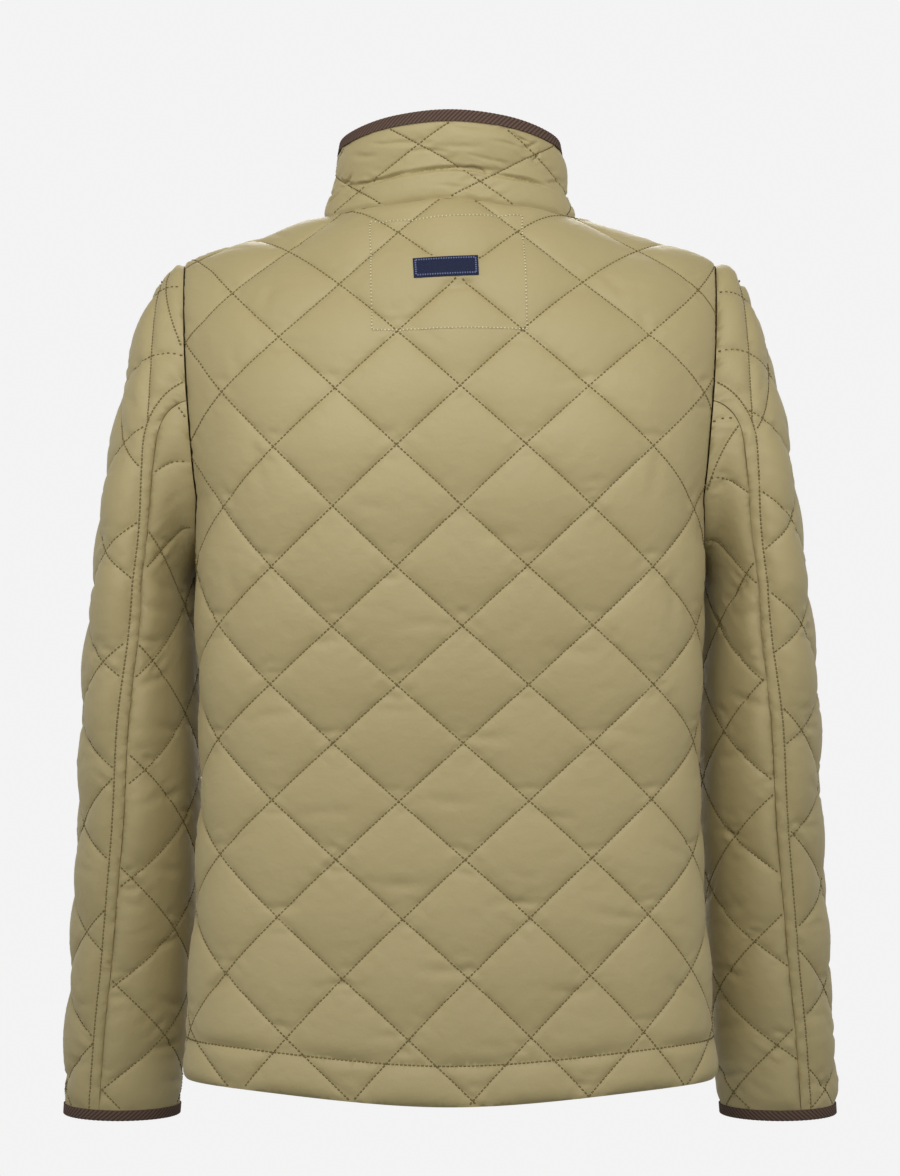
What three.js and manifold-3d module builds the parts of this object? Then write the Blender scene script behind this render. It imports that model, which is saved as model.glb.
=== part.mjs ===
// A diamond-quilted jacket with a stand collar and a front zip, filled out as when it is worn,
// with nobody in it.
// Millimetres, +Z up. The front faces -Y and the wearer's left is +X.
// The origin lies in the middle of the neck opening, about level with the back neck seam.
import * as THREE from "three";
import { mergeVertices } from "three/addons/utils/BufferGeometryUtils.js";
import Module from "manifold-3d";

const wasm = await Module();
wasm.setup();

// Driving dimensions of the cloth: two faces with thin wadding between them.
const WALL = 2; // thickness along the stitched lines
const PUFF = 5.5; // how far the middle of a diamond stands out past that
const PUFF_ROUNDNESS = 0.6; // a lower power gives a fuller diamond
const PRESSED = 0.3; // share of the puff left where body and sleeve face each other
const SEAM_GAP = 0.3; // air between two sewn pieces

// The quilting: straight lines both ways, crossing once every QUILT_ACROSS and QUILT_UP.
const QUILT_ACROSS = 101;
const QUILT_UP = 94.5;
const QUILT_SHORTENING = 5; // by how much the rows draw together towards the shoulders
const CELLS = 4; // mesh cells in one repeat of the quilting
const BACK_QUILT_CENTRE = -11.7;
const SLEEVE_QUILT = { across: 98, up: 84, row: -401, upperCentre: 34, underCentre: 19 };
const COLLAR_QUILT = { across: 105, up: 60.4, row: 45.6, centre: 27.5 };

// The body below the arms: level sections whose quarters are rounded squares.
// half is half the width, back and front are how far the section reaches, side is where its
// widest point lies, and the roundness powers are 2 for an ellipse and more for a squarer shape.
const TORSO = table(
  ["z", "half", "back", "front", "side", "backRound", "frontRound"],
  [
    [-725, 212, 124, -126, 30, 3.6, 2.1],
    [-650, 207, 121, -125, 30, 3.6, 2.1],
    [-560, 200, 118, -124, 30, 3.6, 2.1],
    [-450, 195, 116, -124, 30, 3.6, 2.1],
    [-350, 198, 121, -127, 26, 3.6, 2.2],
    [-290, 201, 125, -129, 14, 3.5, 2.6],
    [-231, 203, 128, -129, 5, 3.4, 3.1],
  ],
);
const CHEST = -231; // above it each upright line of cloth arches over to the shoulder ridge
const CHEST_HALF = 203;
const SHOULDER_FLARE = 0.08; // how far the arch widens on its way to the shoulder tip
const RIDGE = table(
  ["x", "z"],
  [
    [0, 40],
    [60, 20],
    [100, -5],
    [140, -21],
    [180, -31],
    [214, -43],
    [240, -66],
  ],
);

// Outlines of the body panels.
const NECK = { half: 100, back: 62, front: 98 };
const ARMHOLE = { bottom: -273, middle: -165, middleX: 196, tipX: 198.5, clearance: 0.45 };
const HEM = { back: -707.5, front: -710, side: -692, levelFrom: 0.85, turnUp: 32 };
const FRONT_EDGE = 7; // from the middle of the zip to the edge of each front

// The sleeve below the armhole: level sections, thin across and wide from front to back.
// turn swings the front edge inwards, in degrees.
const SLEEVE = table(
  ["z", "x", "y", "thin", "wide", "turn"],
  [
    [-745, 271.5, -62, 45, 46, 0],
    [-660, 264.8, -52, 45.2, 53, 4],
    [-580, 258.8, -42, 45.2, 60, 8],
    [-480, 252.5, -31, 44, 70, 10],
    [-380, 249.8, -24, 40.7, 80, 12],
    [-300, 245.2, -20, 33.8, 86, 12],
  ],
);
const BICEP = -300;
const CUFF = -735;
const BACK_SEAM = table(
  ["height", "angle"],
  [
    [-745, 70],
    [-660, 76],
    [-600, 84],
    [-516, 92],
    [-424, 101],
    [-350, 113],
    [-300, 117],
    [-250, 117],
    [-204, 108],
    [-165, 93],
    [-120, 82],
  ],
);
const FRONT_SEAM_ANGLE = -110;
const CAP = { rise: 0.43, reach: 0.67, lean: 0.09, shoulderSlope: 22 };

// The stand collar: the plan of its rings from the neck seam, 0, to the top edge, 1, and the
// height of the top edge by angle, from 0 at the back to 180 at the front.
const COLLAR = table(
  ["share", "half", "back", "front"],
  [
    [0, 100, 62, 98],
    [0.33, 92, 58.5, 92.5],
    [0.7, 89.5, 60.5, 91],
    [1, 86.5, 62, 90],
  ],
);
const COLLAR_TOP = table(
  ["angle", "z"],
  [
    [0, 76],
    [30, 72],
    [60, 63],
    [90, 53],
    [135, 29],
    [180, 12],
  ],
);
const COLLAR_HEIGHT = 70;
const COLLAR_ROWS = [0, 7.8, 15.4, 23, 30.5, 38, 45.6, 61, 70];
const COLLAR_CREASE = 23; // the row where the collar bends and its puff is pressed

// Woven tape folded over the top of the collar and round the cuffs.
const BINDING = { width: 8, thickness: 1.1, clearance: 0.45 };

// The zip, and the metal parts on it.
const TAPE = { inner: 3.3, outer: 13, depth: -0.5, drop: -1.9, thickness: 0.9 };
const CHAIN = { half: 3, low: -1.4, high: 1.2 };
const SLIDER = {
  length: 12,
  below: 14, // from the top end of the zip
  half: 4.5,
  waist: 1.2,
  top: 2.7,
  floor: 1.5,
  keel: -4,
  keelThickness: 1.2,
  overlap: 0.5,
};
const CHEEK = { inner: 2.7, outer: 3.6, length: 3.6, top: 6.6 };
const BAR = { radius: 0.8, height: 5.4 };
const PULL = {
  hole: 1.15,
  eye: 2.2,
  neck: 4.6,
  neckTop: 0.6,
  neckEnd: 6,
  shoulder: 10,
  width: 7,
  length: 30,
  thickness: 1.4,
  lift: 3.1,
};
const STOP = { half: 3, length: 10, low: -1.8, high: 1.8 };
const ROD_SIDES = 16;

// The bare label on the upper back.
const LABEL = { x: 3.2, z: -53, width: 50, height: 17, tilt: -3, thickness: 1 };

const MATERIALS = {
  cloth: new THREE.MeshStandardMaterial({ color: 0xa89c70, roughness: 0.75, metalness: 0 }),
  binding: new THREE.MeshStandardMaterial({ color: 0x43342e, roughness: 0.85, metalness: 0 }),
  tape: new THREE.MeshStandardMaterial({ color: 0x5a5138, roughness: 0.9, metalness: 0 }),
  brass: new THREE.MeshStandardMaterial({ color: 0x6f6145, roughness: 0.4, metalness: 0.9 }),
  label: new THREE.MeshStandardMaterial({ color: 0x2b3550, roughness: 0.7, metalness: 0 }),
};

// Rows of a table as objects whose keys are the column names.
function table(columns, rows) {
  return rows.map((row) => Object.fromEntries(columns.map((name, i) => [name, row[i]])));
}

// One column of a table at a place along its first column, through smooth slopes.
function read(rows, column, at) {
  const along = Object.keys(rows[0])[0];
  const last = rows.length - 1;
  const slope = (i) => {
    const before = rows[Math.max(i - 1, 0)];
    const after = rows[Math.min(i + 1, last)];
    return (after[column] - before[column]) / (after[along] - before[along]);
  };
  if (at <= rows[0][along]) return rows[0][column] + slope(0) * (at - rows[0][along]);
  if (at >= rows[last][along]) return rows[last][column] + slope(last) * (at - rows[last][along]);
  const i = rows.findIndex((row, k) => k < last && at <= rows[k + 1][along]);
  const span = rows[i + 1][along] - rows[i][along];
  const u = (at - rows[i][along]) / span;
  const start = rows[i][column];
  const rise = rows[i + 1][column] - start;
  const first = slope(i) * span;
  const second = slope(i + 1) * span;
  return start + u * first + u * u * (3 * rise - 2 * first - second) + u ** 3 * (first + second - 2 * rise);
}

const radians = THREE.MathUtils.degToRad;
const mix = THREE.MathUtils.lerp;
const fade = THREE.MathUtils.smoothstep;

// Lengths along a curve that is sampled at even steps of its own parameter, so that a length can
// be turned back into a parameter.
function measure(curve, from, to, steps) {
  const rows = [{ length: 0, parameter: from }];
  let before = curve(from);
  for (let k = 1; k <= steps; k += 1) {
    const parameter = mix(from, to, k / steps);
    const here = curve(parameter);
    rows.push({ length: rows[k - 1].length + here.distanceTo(before), parameter });
    before = here;
  }
  return rows;
}

function swap(rows, given, wanted, value) {
  let low = 0;
  let high = rows.length - 1;
  while (high - low > 1) {
    const middle = (low + high) >> 1;
    if (rows[middle][given] <= value) low = middle;
    else high = middle;
  }
  const share = (value - rows[low][given]) / (rows[high][given] - rows[low][given]);
  return mix(rows[low][wanted], rows[high][wanted], share);
}

const remembered = new Map();
function remember(key, make) {
  if (!remembered.has(key)) remembered.set(key, make());
  return remembered.get(key);
}

// A quarter of a level section of the body, by direction from the middle of its centre line.
const QUARTER = Math.PI / 2;
const SECTION_STEPS = 64;
function section(panel, z) {
  return remember(`section ${panel} ${z.toFixed(3)}`, () => {
    const half = read(TORSO, "half", z);
    const side = read(TORSO, "side", z);
    const reach = read(TORSO, panel, z) - side;
    const power = read(TORSO, `${panel}Round`, z);
    const point = (angle) => {
      const across = Math.abs(Math.sin(angle));
      const deep = Math.abs(Math.cos(angle));
      const radius = (across ** power + deep ** power) ** (-1 / power);
      return new THREE.Vector2(half * radius * across, side + reach * radius * deep);
    };
    return { point, rows: measure(point, 0, QUARTER, SECTION_STEPS), reach };
  });
}

function sideLength(panel, t) {
  return section(panel, Math.min(t, CHEST)).rows[SECTION_STEPS].length;
}

// A point of a level section, at a length from its centre line. Past the side it runs straight on.
function sectionPoint(panel, z, s) {
  const { point, rows, reach } = section(panel, z);
  const beyond = s - rows[SECTION_STEPS].length;
  if (beyond > 0) return point(QUARTER).add(new THREE.Vector2(0, -Math.sign(reach) * beyond));
  return point(swap(rows, "length", "parameter", s));
}

// The arch of cloth that rises from a place on the chest line to the shoulder ridge.
const ARCH_STEPS = 48;
function arch(panel, s) {
  return remember(`arch ${panel} ${s.toFixed(4)}`, () => {
    const base = sectionPoint(panel, CHEST, s);
    const flare = SHOULDER_FLARE * (base.x / CHEST_HALF) ** 3;
    const rise = read(RIDGE, "z", base.x * (1 + flare)) - CHEST;
    const point = (angle) => {
      const lift = Math.sin(angle);
      const x = base.x * (1 + flare * (1 - (1 - lift) ** 3));
      return new THREE.Vector3(x, base.y * Math.cos(angle), CHEST + rise * lift);
    };
    return { point, rows: measure(point, 0, QUARTER, ARCH_STEPS), base };
  });
}

function ridgeHeight(panel, s) {
  return CHEST + arch(panel, Math.abs(s)).rows[ARCH_STEPS].length;
}

// The inside face of the body. s is measured across the cloth from its centre line and t is the
// height, which is measured along the cloth above the chest.
function torso(panel, s, t) {
  const mirror = s < 0 ? -1 : 1;
  const across = Math.abs(s);
  if (t <= CHEST) {
    const { x, y } = sectionPoint(panel, t, across);
    return new THREE.Vector3(mirror * x, y, t);
  }
  const { point, rows, base } = arch(panel, across);
  const beyond = t - CHEST - rows[ARCH_STEPS].length;
  const place =
    beyond > 0
      ? point(QUARTER).add(new THREE.Vector3(0, -Math.sign(base.y) * beyond, 0))
      : point(swap(rows, "length", "parameter", t - CHEST));
  place.x *= mirror;
  return place;
}

// Turns a map from the flat cloth to its place into one that also gives the outward direction.
const PROBE = 0.5;
function facing(map, outwards) {
  return (s, t) => {
    const across = map(s + PROBE, t).sub(map(s - PROBE, t));
    const up = map(s, t + PROBE).sub(map(s, t - PROBE));
    return { place: map(s, t), normal: across.cross(up).normalize().multiplyScalar(outwards) };
  };
}

const torsoFace = {
  back: facing((s, t) => torso("back", s, t), -1),
  front: facing((s, t) => torso("front", s, t), 1),
};

// How far across a body panel its armhole edge lies, for each height.
function lengthToX(panel, x) {
  return remember(`across ${panel} ${x}`, () => {
    const rows = section(panel, CHEST).rows.map((row) => ({
      length: row.length,
      x: section(panel, CHEST).point(row.parameter).x,
    }));
    return swap(rows, "x", "length", x);
  });
}

function armholeEdge(panel, t) {
  const side = sideLength(panel, t);
  const inner = lengthToX(panel, ARMHOLE.middleX);
  const tip = lengthToX(panel, ARMHOLE.tipX);
  if (t < ARMHOLE.bottom) return side + ARMHOLE.bottom - t;
  if (t < ARMHOLE.middle) {
    const u = (ARMHOLE.middle - t) / (ARMHOLE.middle - ARMHOLE.bottom);
    return side - (side - inner) * Math.sqrt(Math.max(0, 1 - u * u));
  }
  const v = (t - ARMHOLE.middle) / (ridgeHeight(panel, tip) - ARMHOLE.middle);
  return inner + (tip - inner) * v * v;
}

function hemHeight(panel, s) {
  const share = Math.abs(s) / sideLength(panel, HEM.side);
  return mix(HEM[panel], HEM.side, fade(share, 0, HEM.levelFrom));
}

function neckMargin(panel, s, t) {
  const place = torso(panel, s, t);
  return Math.hypot(place.x / NECK.half, place.y / NECK[panel]) - 1;
}

// How full the quilting is at a point of the lattice, counted in cells from a crossing: 0 on the
// stitched lines and 1 in the middle of a diamond.
function swell(i, j) {
  const one = Math.abs(Math.sin((Math.PI * (i + j)) / CELLS));
  const other = Math.abs(Math.sin((Math.PI * (i - j)) / CELLS));
  return (one * other) ** PUFF_ROUNDNESS;
}

// How many stitched lines of each direction lie between a crossing and a place in the lattice.
const latticeLines = (i, j) => [(i + j) / CELLS, (i - j) / CELLS];

// A flat sheet of triangles whose diagonals run along the stitched lines. Each point has its
// place on the cloth, its puff, and the names of the lines that it lies on.
function latticeSheet(columns, rows, place, lines = latticeLines) {
  const points = [];
  const index = (i, j) => (i - columns.from) * (rows.to - rows.from + 1) + j - rows.from;
  for (let i = columns.from; i <= columns.to; i += 1)
    for (let j = rows.from; j <= rows.to; j += 1) points.push({ ...place(i, j), names: new Set() });
  const faces = [];
  const fromLine = (count) => Math.abs(count - Math.round(count));
  for (let i = columns.from; i < columns.to; i += 1)
    for (let j = rows.from; j < rows.to; j += 1) {
      const [a, b, c, d] = [index(i, j), index(i + 1, j), index(i + 1, j + 1), index(i, j + 1)];
      const [down, up] = lines(i + 0.5, j + 0.5).map(fromLine);
      const falling = down < up;
      faces.push(...(falling ? [[a, b, d], [b, c, d]] : [[a, b, c], [a, c, d]]));
    }
  return { points, faces };
}

// Each edge of a sheet once, as a pair of point numbers.
function edgesOf(sheet) {
  const seen = new Map();
  for (const face of sheet.faces)
    face.forEach((a, k) => {
      const b = face[(k + 1) % 3];
      seen.set(a < b ? `${a} ${b}` : `${b} ${a}`, [Math.min(a, b), Math.max(a, b)]);
    });
  return [...seen.values()];
}

const distance = (a, b) => Math.hypot(a.s - b.s, a.t - b.t);

function between(from, to, share) {
  return {
    s: mix(from.s, to.s, share),
    t: mix(from.t, to.t, share),
    puff: mix(from.puff, to.puff, share),
    names: new Set([...from.names].filter((name) => to.names.has(name))),
  };
}

// Cuts a sheet along the line where a function of s and t is zero, and keeps the side where the
// function is positive. With both sides kept, the line is only scored.
const HALVINGS = 40;
const NEAR = 0.2; // a lattice point this near the line, as a share of its edge, moves onto it
function cut(sheet, name, line, { bothSides = false, near = NEAR } = {}) {
  const value = sheet.points.map((p) => line(p.s, p.t));
  const meeting = (a, b) => {
    let low = 0;
    let high = 1;
    for (let k = 0; k < HALVINGS; k += 1) {
      const middle = (low + high) / 2;
      const point = between(sheet.points[a], sheet.points[b], middle);
      if (line(point.s, point.t) > 0 === value[a] > 0) low = middle;
      else high = middle;
    }
    return (low + high) / 2;
  };
  const moves = new Map();
  for (const [a, b] of edgesOf(sheet)) {
    if (value[a] * value[b] >= 0) continue;
    const share = meeting(a, b);
    for (const [from, to, part] of [[a, b, share], [b, a, 1 - share]]) {
      const free = [...sheet.points[from].names].every((n) => sheet.points[to].names.has(n));
      if (part < near && free && !(moves.get(from)?.part <= part))
        moves.set(from, { part, point: between(sheet.points[from], sheet.points[to], part) });
    }
  }
  for (const [from, { point }] of moves) {
    point.names = sheet.points[from].names;
    sheet.points[from] = point;
    value[from] = 0;
  }
  value.forEach((v, i) => v === 0 && sheet.points[i].names.add(name));
  const crossings = new Map();
  const crossing = (a, b) => {
    const key = a < b ? `${a} ${b}` : `${b} ${a}`;
    if (!crossings.has(key)) {
      const point = between(sheet.points[a], sheet.points[b], meeting(a, b));
      point.names.add(name);
      crossings.set(key, sheet.points.push(point) - 1);
    }
    return crossings.get(key);
  };
  const faces = [];
  for (const face of sheet.faces)
    for (const sign of bothSides ? [1, -1] : [1]) {
      const corners = face.map((a) => sign * value[a]);
      const middle = ["s", "t"].map((axis) => face.reduce((sum, a) => sum + sheet.points[a][axis] / 3, 0));
      const allOnLine = corners.every((corner) => corner === 0);
      if (Math.max(...corners) <= 0 && !(allOnLine && sign * line(...middle) > 0)) continue;
      const kept = [];
      face.forEach((a, k) => {
        const b = face[(k + 1) % 3];
        if (sign * value[a] >= 0) kept.push(a);
        if (value[a] * value[b] < 0) kept.push(crossing(a, b));
      });
      faces.push(...split(sheet, kept));
    }
  return compact({ points: sheet.points, faces });
}

// A triangle, or a four-sided piece as two triangles across its shorter diagonal.
function split(sheet, corners) {
  if (corners.length === 3) return [corners];
  const [a, b, c, d] = corners;
  const apart = (i, j) => distance(sheet.points[i], sheet.points[j]);
  return apart(a, c) < apart(b, d) ? [[a, b, c], [a, c, d]] : [[a, b, d], [b, c, d]];
}

function compact(sheet) {
  const used = [...new Set(sheet.faces.flat())];
  const number = new Map(used.map((old, i) => [old, i]));
  return {
    points: used.map((old) => ({ ...sheet.points[old], names: new Set(sheet.points[old].names) })),
    faces: sheet.faces.map((face) => face.map((a) => number.get(a))),
  };
}

// Halves the edges along one line of a sheet until none is longer than asked, and puts each new
// point on the line.
const SEARCH = 0.3; // how far to either side of an edge the line is looked for, as a share of it
function refine(sheet, name, line, longest, within = () => true) {
  const settle = (a, b) => {
    const point = between(a, b, 0.5);
    const away = (k) => ({
      s: point.s - k * SEARCH * (b.t - a.t),
      t: point.t + k * SEARCH * (b.s - a.s),
    });
    const sign = (k) => line(away(k).s, away(k).t) > 0;
    if (sign(-1) === sign(1)) return null;
    let low = -1;
    let high = 1;
    for (let k = 0; k < HALVINGS; k += 1) {
      const middle = (low + high) / 2;
      if (sign(middle) === sign(-1)) low = middle;
      else high = middle;
    }
    return { ...point, ...away((low + high) / 2) };
  };
  for (let again = true; again; ) {
    again = false;
    for (const [a, b] of edgesOf(sheet)) {
      const [from, to] = [sheet.points[a], sheet.points[b]];
      if (!from.names.has(name) || !to.names.has(name) || distance(from, to) <= longest) continue;
      if (!within(from) || !within(to)) continue;
      const point = settle(from, to);
      if (!point) continue;
      const added = sheet.points.push(point) - 1;
      sheet.faces = sheet.faces.flatMap((face) => {
        if (!face.includes(a) || !face.includes(b)) return [face];
        const far = face.findIndex((corner) => corner !== a && corner !== b);
        const k = (far + 1) % 3;
        const [one, two] = [face[k], face[(k + 1) % 3]];
        return [[one, added, face[far]], [added, two, face[far]]];
      });
      again = true;
    }
  }
  return sheet;
}

// Turns the diagonals in the narrow strips along the edges, so that no triangle there is a long
// sliver that cuts across the curve of the cloth.
const WORTH_TURNING = 0.1; // mm that the new diagonal has to be shorter by
const LEAST_AREA = 0.5; // square mm of each new triangle, doubled
function evenOut(sheet) {
  const { points, faces } = sheet;
  const doubleArea = (...corners) => {
    const [a, b, c] = corners.map((corner) => points[corner]);
    return (b.s - a.s) * (c.t - a.t) - (c.s - a.s) * (b.t - a.t);
  };
  for (let again = true; again; ) {
    again = false;
    const owner = new Map(faces.flatMap((face, f) => face.map((a, k) => [`${a} ${face[(k + 1) % 3]}`, f])));
    const done = new Set();
    for (const [a, b] of edgesOf(sheet)) {
      const [f, g] = [owner.get(`${a} ${b}`), owner.get(`${b} ${a}`)];
      if (f === undefined || g === undefined || done.has(f) || done.has(g)) continue;
      const c = faces[f].find((v) => v !== a && v !== b);
      const d = faces[g].find((v) => v !== a && v !== b);
      if ([a, b, c, d].some((v) => !points[v].names.size)) continue;
      if ([...points[a].names].some((name) => points[b].names.has(name))) continue;
      if (distance(points[c], points[d]) > distance(points[a], points[b]) - WORTH_TURNING) continue;
      if (Math.min(doubleArea(a, d, c), doubleArea(d, b, c)) < LEAST_AREA) continue;
      faces[f] = [a, d, c];
      faces[g] = [d, b, c];
      done.add(f).add(g);
      again = true;
    }
  }
  return sheet;
}

// Seams pinch the wadding flat.
function pinch(sheet) {
  for (const point of sheet.points) if (point.names.size) point.puff = 0;
  return sheet;
}

// A closed body from points and triangles, turned so that its faces look outwards.
function body(points, faces) {
  const underFace = ([a, b, c]) => points[a].dot(points[b].clone().cross(points[c]));
  const volume = faces.reduce((sum, face) => sum + underFace(face), 0);
  const geometry = new THREE.BufferGeometry();
  const numbers = points.flatMap((point) => point.toArray());
  geometry.setAttribute("position", new THREE.Float32BufferAttribute(numbers, 3));
  geometry.setIndex(faces.flatMap(([a, b, c]) => (volume > 0 ? [a, b, c] : [a, c, b])));
  return geometry;
}

// Gives a flat sheet its place and thickness. low and high are the distances of its two faces
// from the inside of the cloth.
function wall(sheet, face, low, high) {
  const count = sheet.points.length;
  const frames = sheet.points.map((p) => face(p.s, p.t));
  const lay = (distance) =>
    frames.map(({ place, normal }, i) => place.clone().addScaledVector(normal, distance(sheet.points[i])));
  const directed = new Set(sheet.faces.flatMap((f) => f.map((a, k) => `${a} ${f[(k + 1) % 3]}`)));
  const faces = [];
  for (const [a, b, c] of sheet.faces) {
    faces.push([a + count, b + count, c + count], [a, c, b]);
    for (const [from, to] of [[a, b], [b, c], [c, a]])
      if (!directed.has(`${to} ${from}`))
        faces.push([from + count, from, to], [from + count, to, to + count]);
  }
  return body([...lay(low), ...lay(high)], faces);
}

const clothWall = (sheet, face) => wall(sheet, face, () => 0, (p) => WALL + p.puff);

// Joins the same profile at each station into a bar, with flat ends unless it closes on itself.
function sweep(stations, outline, closed) {
  const profile = THREE.ShapeUtils.isClockWise(outline) ? [...outline].reverse() : outline;
  const count = profile.length;
  const points = stations.flatMap((station) => profile.map(station));
  const faces = [];
  const spans = closed ? stations.length : stations.length - 1;
  for (let k = 0; k < spans; k += 1)
    for (let i = 0; i < count; i += 1) {
      const next = ((k + 1) % stations.length) * count;
      const [a, b] = [k * count + i, k * count + ((i + 1) % count)];
      const [c, d] = [next + ((i + 1) % count), next + i];
      faces.push([a, b, c], [a, c, d]);
    }
  if (!closed) {
    const end = (stations.length - 1) * count;
    for (const [a, b, c] of THREE.ShapeUtils.triangulateShape(profile, []))
      faces.push([a, c, b], [a + end, b + end, c + end]);
  }
  return body(points, faces);
}

// The quilted lattice of a body panel. Above the chest its rows draw together.
function bodyRow(j) {
  const row = j / CELLS;
  return CHEST + QUILT_UP * row - (row > 0 ? QUILT_SHORTENING * row * row : 0);
}

// The sleeve presses the puff flat along the side, and most of all below the armhole. The puff
// comes back over these distances from the edge and from the underarm.
const BODY_PRESS = { flatTo: 15, fullFrom: 70, underarmTo: 70, underarmFrom: 120 };
function bodyPress(panel, s, t) {
  const { flatTo, fullFrom, underarmTo, underarmFrom } = BODY_PRESS;
  const fromEdge = armholeEdge(panel, Math.max(t, ARMHOLE.bottom)) - Math.abs(s);
  const fromUnderarm = Math.abs(t - (ARMHOLE.bottom + ARMHOLE.middle) / 2);
  const atSide = PRESSED * fade(fromUnderarm, underarmTo, underarmFrom);
  return mix(atSide, 1, fade(fromEdge, flatTo, fullFrom));
}

// How finely the curved edges are divided.
const EDGE_STEPS = { armhole: 14, shoulder: 18, neck: 12, cuff: 8.5, binding: 8.5, seams: 12 };
const BODY_ROWS = { from: -22, to: 19 };
const SLEEVE_ROWS = { from: -16, to: 21 };
function bodyPanel(panel, centre, columns) {
  const edges = {
    side: (s, t) => sideLength(panel, t) - SEAM_GAP / 2 - Math.abs(s),
    armhole: (s, t) => armholeEdge(panel, t) - Math.abs(s),
    neck: (s, t) => neckMargin(panel, s, t),
    shoulder: (s, t) => ridgeHeight(panel, s) - SEAM_GAP / 2 - t,
    hem: (s, t) => t - hemHeight(panel, s),
  };
  const hemStitching = (s, t) => t - hemHeight(panel, s) - HEM.turnUp;
  let sheet = latticeSheet(columns, BODY_ROWS, (i, j) => {
    const s = centre + (QUILT_ACROSS * i) / CELLS;
    const t = bodyRow(j);
    return { s, t, puff: PUFF * swell(i, j) * bodyPress(panel, s, t) };
  });
  for (const [name, line] of Object.entries(edges)) {
    sheet = cut(sheet, name, line);
    if (name in EDGE_STEPS) refine(sheet, name, line, EDGE_STEPS[name]);
  }
  if (panel === "front") sheet = cut(sheet, "opening", (s) => s - FRONT_EDGE);
  return pinch(evenOut(cut(sheet, "hemStitching", hemStitching, { bothSides: true })));
}

const backSheet = bodyPanel("back", BACK_QUILT_CENTRE, { from: -11, to: 12 });
const frontSheet = bodyPanel("front", 0, { from: 0, to: 13 });

// The label lies on the back, over the quilting, so it is cut from the same sheet.
function labelGeometry() {
  const tilt = radians(LABEL.tilt);
  const middle = closestHeight("back", LABEL.x, LABEL.z);
  const along = (s, t) => (s - LABEL.x) * Math.cos(tilt) + (t - middle) * Math.sin(tilt);
  const over = (s, t) => (t - middle) * Math.cos(tilt) - (s - LABEL.x) * Math.sin(tilt);
  const lines = {
    labelLeft: (s, t) => along(s, t) + LABEL.width / 2,
    labelRight: (s, t) => LABEL.width / 2 - along(s, t),
    labelLow: (s, t) => over(s, t) + LABEL.height / 2,
    labelHigh: (s, t) => LABEL.height / 2 - over(s, t),
  };
  let sheet = compact(backSheet);
  for (const [name, line] of Object.entries(lines)) sheet = cut(sheet, name, line, { near: 0 });
  const under = (p) => WALL + p.puff + SEAM_GAP;
  return wall(sheet, torsoFace.back, under, (p) => under(p) + LABEL.thickness);
}

// The height on the cloth, t, where a body panel passes a level z.
function closestHeight(panel, s, z) {
  const { point, rows } = arch(panel, Math.abs(s));
  const levels = rows.map((row) => ({ length: row.length, z: point(row.parameter).z }));
  return CHEST + swap(levels, "z", "length", z);
}

// The sleeve. Its level sections are turned ellipses; 0 degrees is the outer side, 90 the back
// and 180 the side that faces the body.
function sleeveRing(z, angle) {
  const turn = radians(read(SLEEVE, "turn", z));
  const out = read(SLEEVE, "thin", z) * Math.cos(angle);
  const back = read(SLEEVE, "wide", z) * Math.sin(angle);
  return new THREE.Vector3(
    read(SLEEVE, "x", z) + out * Math.cos(turn) + back * Math.sin(turn),
    read(SLEEVE, "y", z) - out * Math.sin(turn) + back * Math.cos(turn),
    z,
  );
}

const RING_STEPS = 135;
function ringLengths(z) {
  return remember(`ring ${z.toFixed(3)}`, () => {
    const rows = measure((angle) => sleeveRing(z, angle), radians(-135), radians(270), RING_STEPS);
    const zero = swap(rows, "parameter", "length", 0);
    return rows.map((row) => ({ length: row.length - zero, parameter: row.parameter }));
  });
}

const ringLength = (z, angle) => swap(ringLengths(z), "parameter", "length", angle);

// s runs towards the back on both sleeve panels, from the outer side on the upper one and from
// the body side on the under one.
function sleeveAngle(panel, s, z) {
  const length = panel === "upper" ? s : ringLength(z, Math.PI) - s;
  return swap(ringLengths(z), "length", "parameter", length);
}

// The armhole as the sleeve meets it, from the shoulder tip down to the underarm: just outside
// the edge of the body's cloth.
const LOOP_STEPS = 40;
function armholeLoop(panel) {
  return remember(`armhole ${panel}`, () => {
    const tip = ridgeHeight(panel, lengthToX(panel, ARMHOLE.tipX));
    const heights = [];
    for (let k = 0; k < LOOP_STEPS; k += 1) heights.push(mix(tip, ARMHOLE.middle, k / LOOP_STEPS));
    for (let k = 0; k <= LOOP_STEPS; k += 1)
      heights.push(mix(ARMHOLE.middle, ARMHOLE.bottom, Math.sin((QUARTER * k) / LOOP_STEPS)));
    const places = heights.map((t) => {
      const { place, normal } = torsoFace[panel](armholeEdge(panel, t), t);
      place.x += ARMHOLE.clearance + WALL * Math.max(0, normal.x);
      return place;
    });
    return measure((k) => places[Math.round(k)], 0, places.length - 1, places.length - 1).map((row, k) => ({
      length: row.length,
      x: places[k].x,
      y: places[k].y,
      z: places[k].z,
    }));
  });
}

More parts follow.
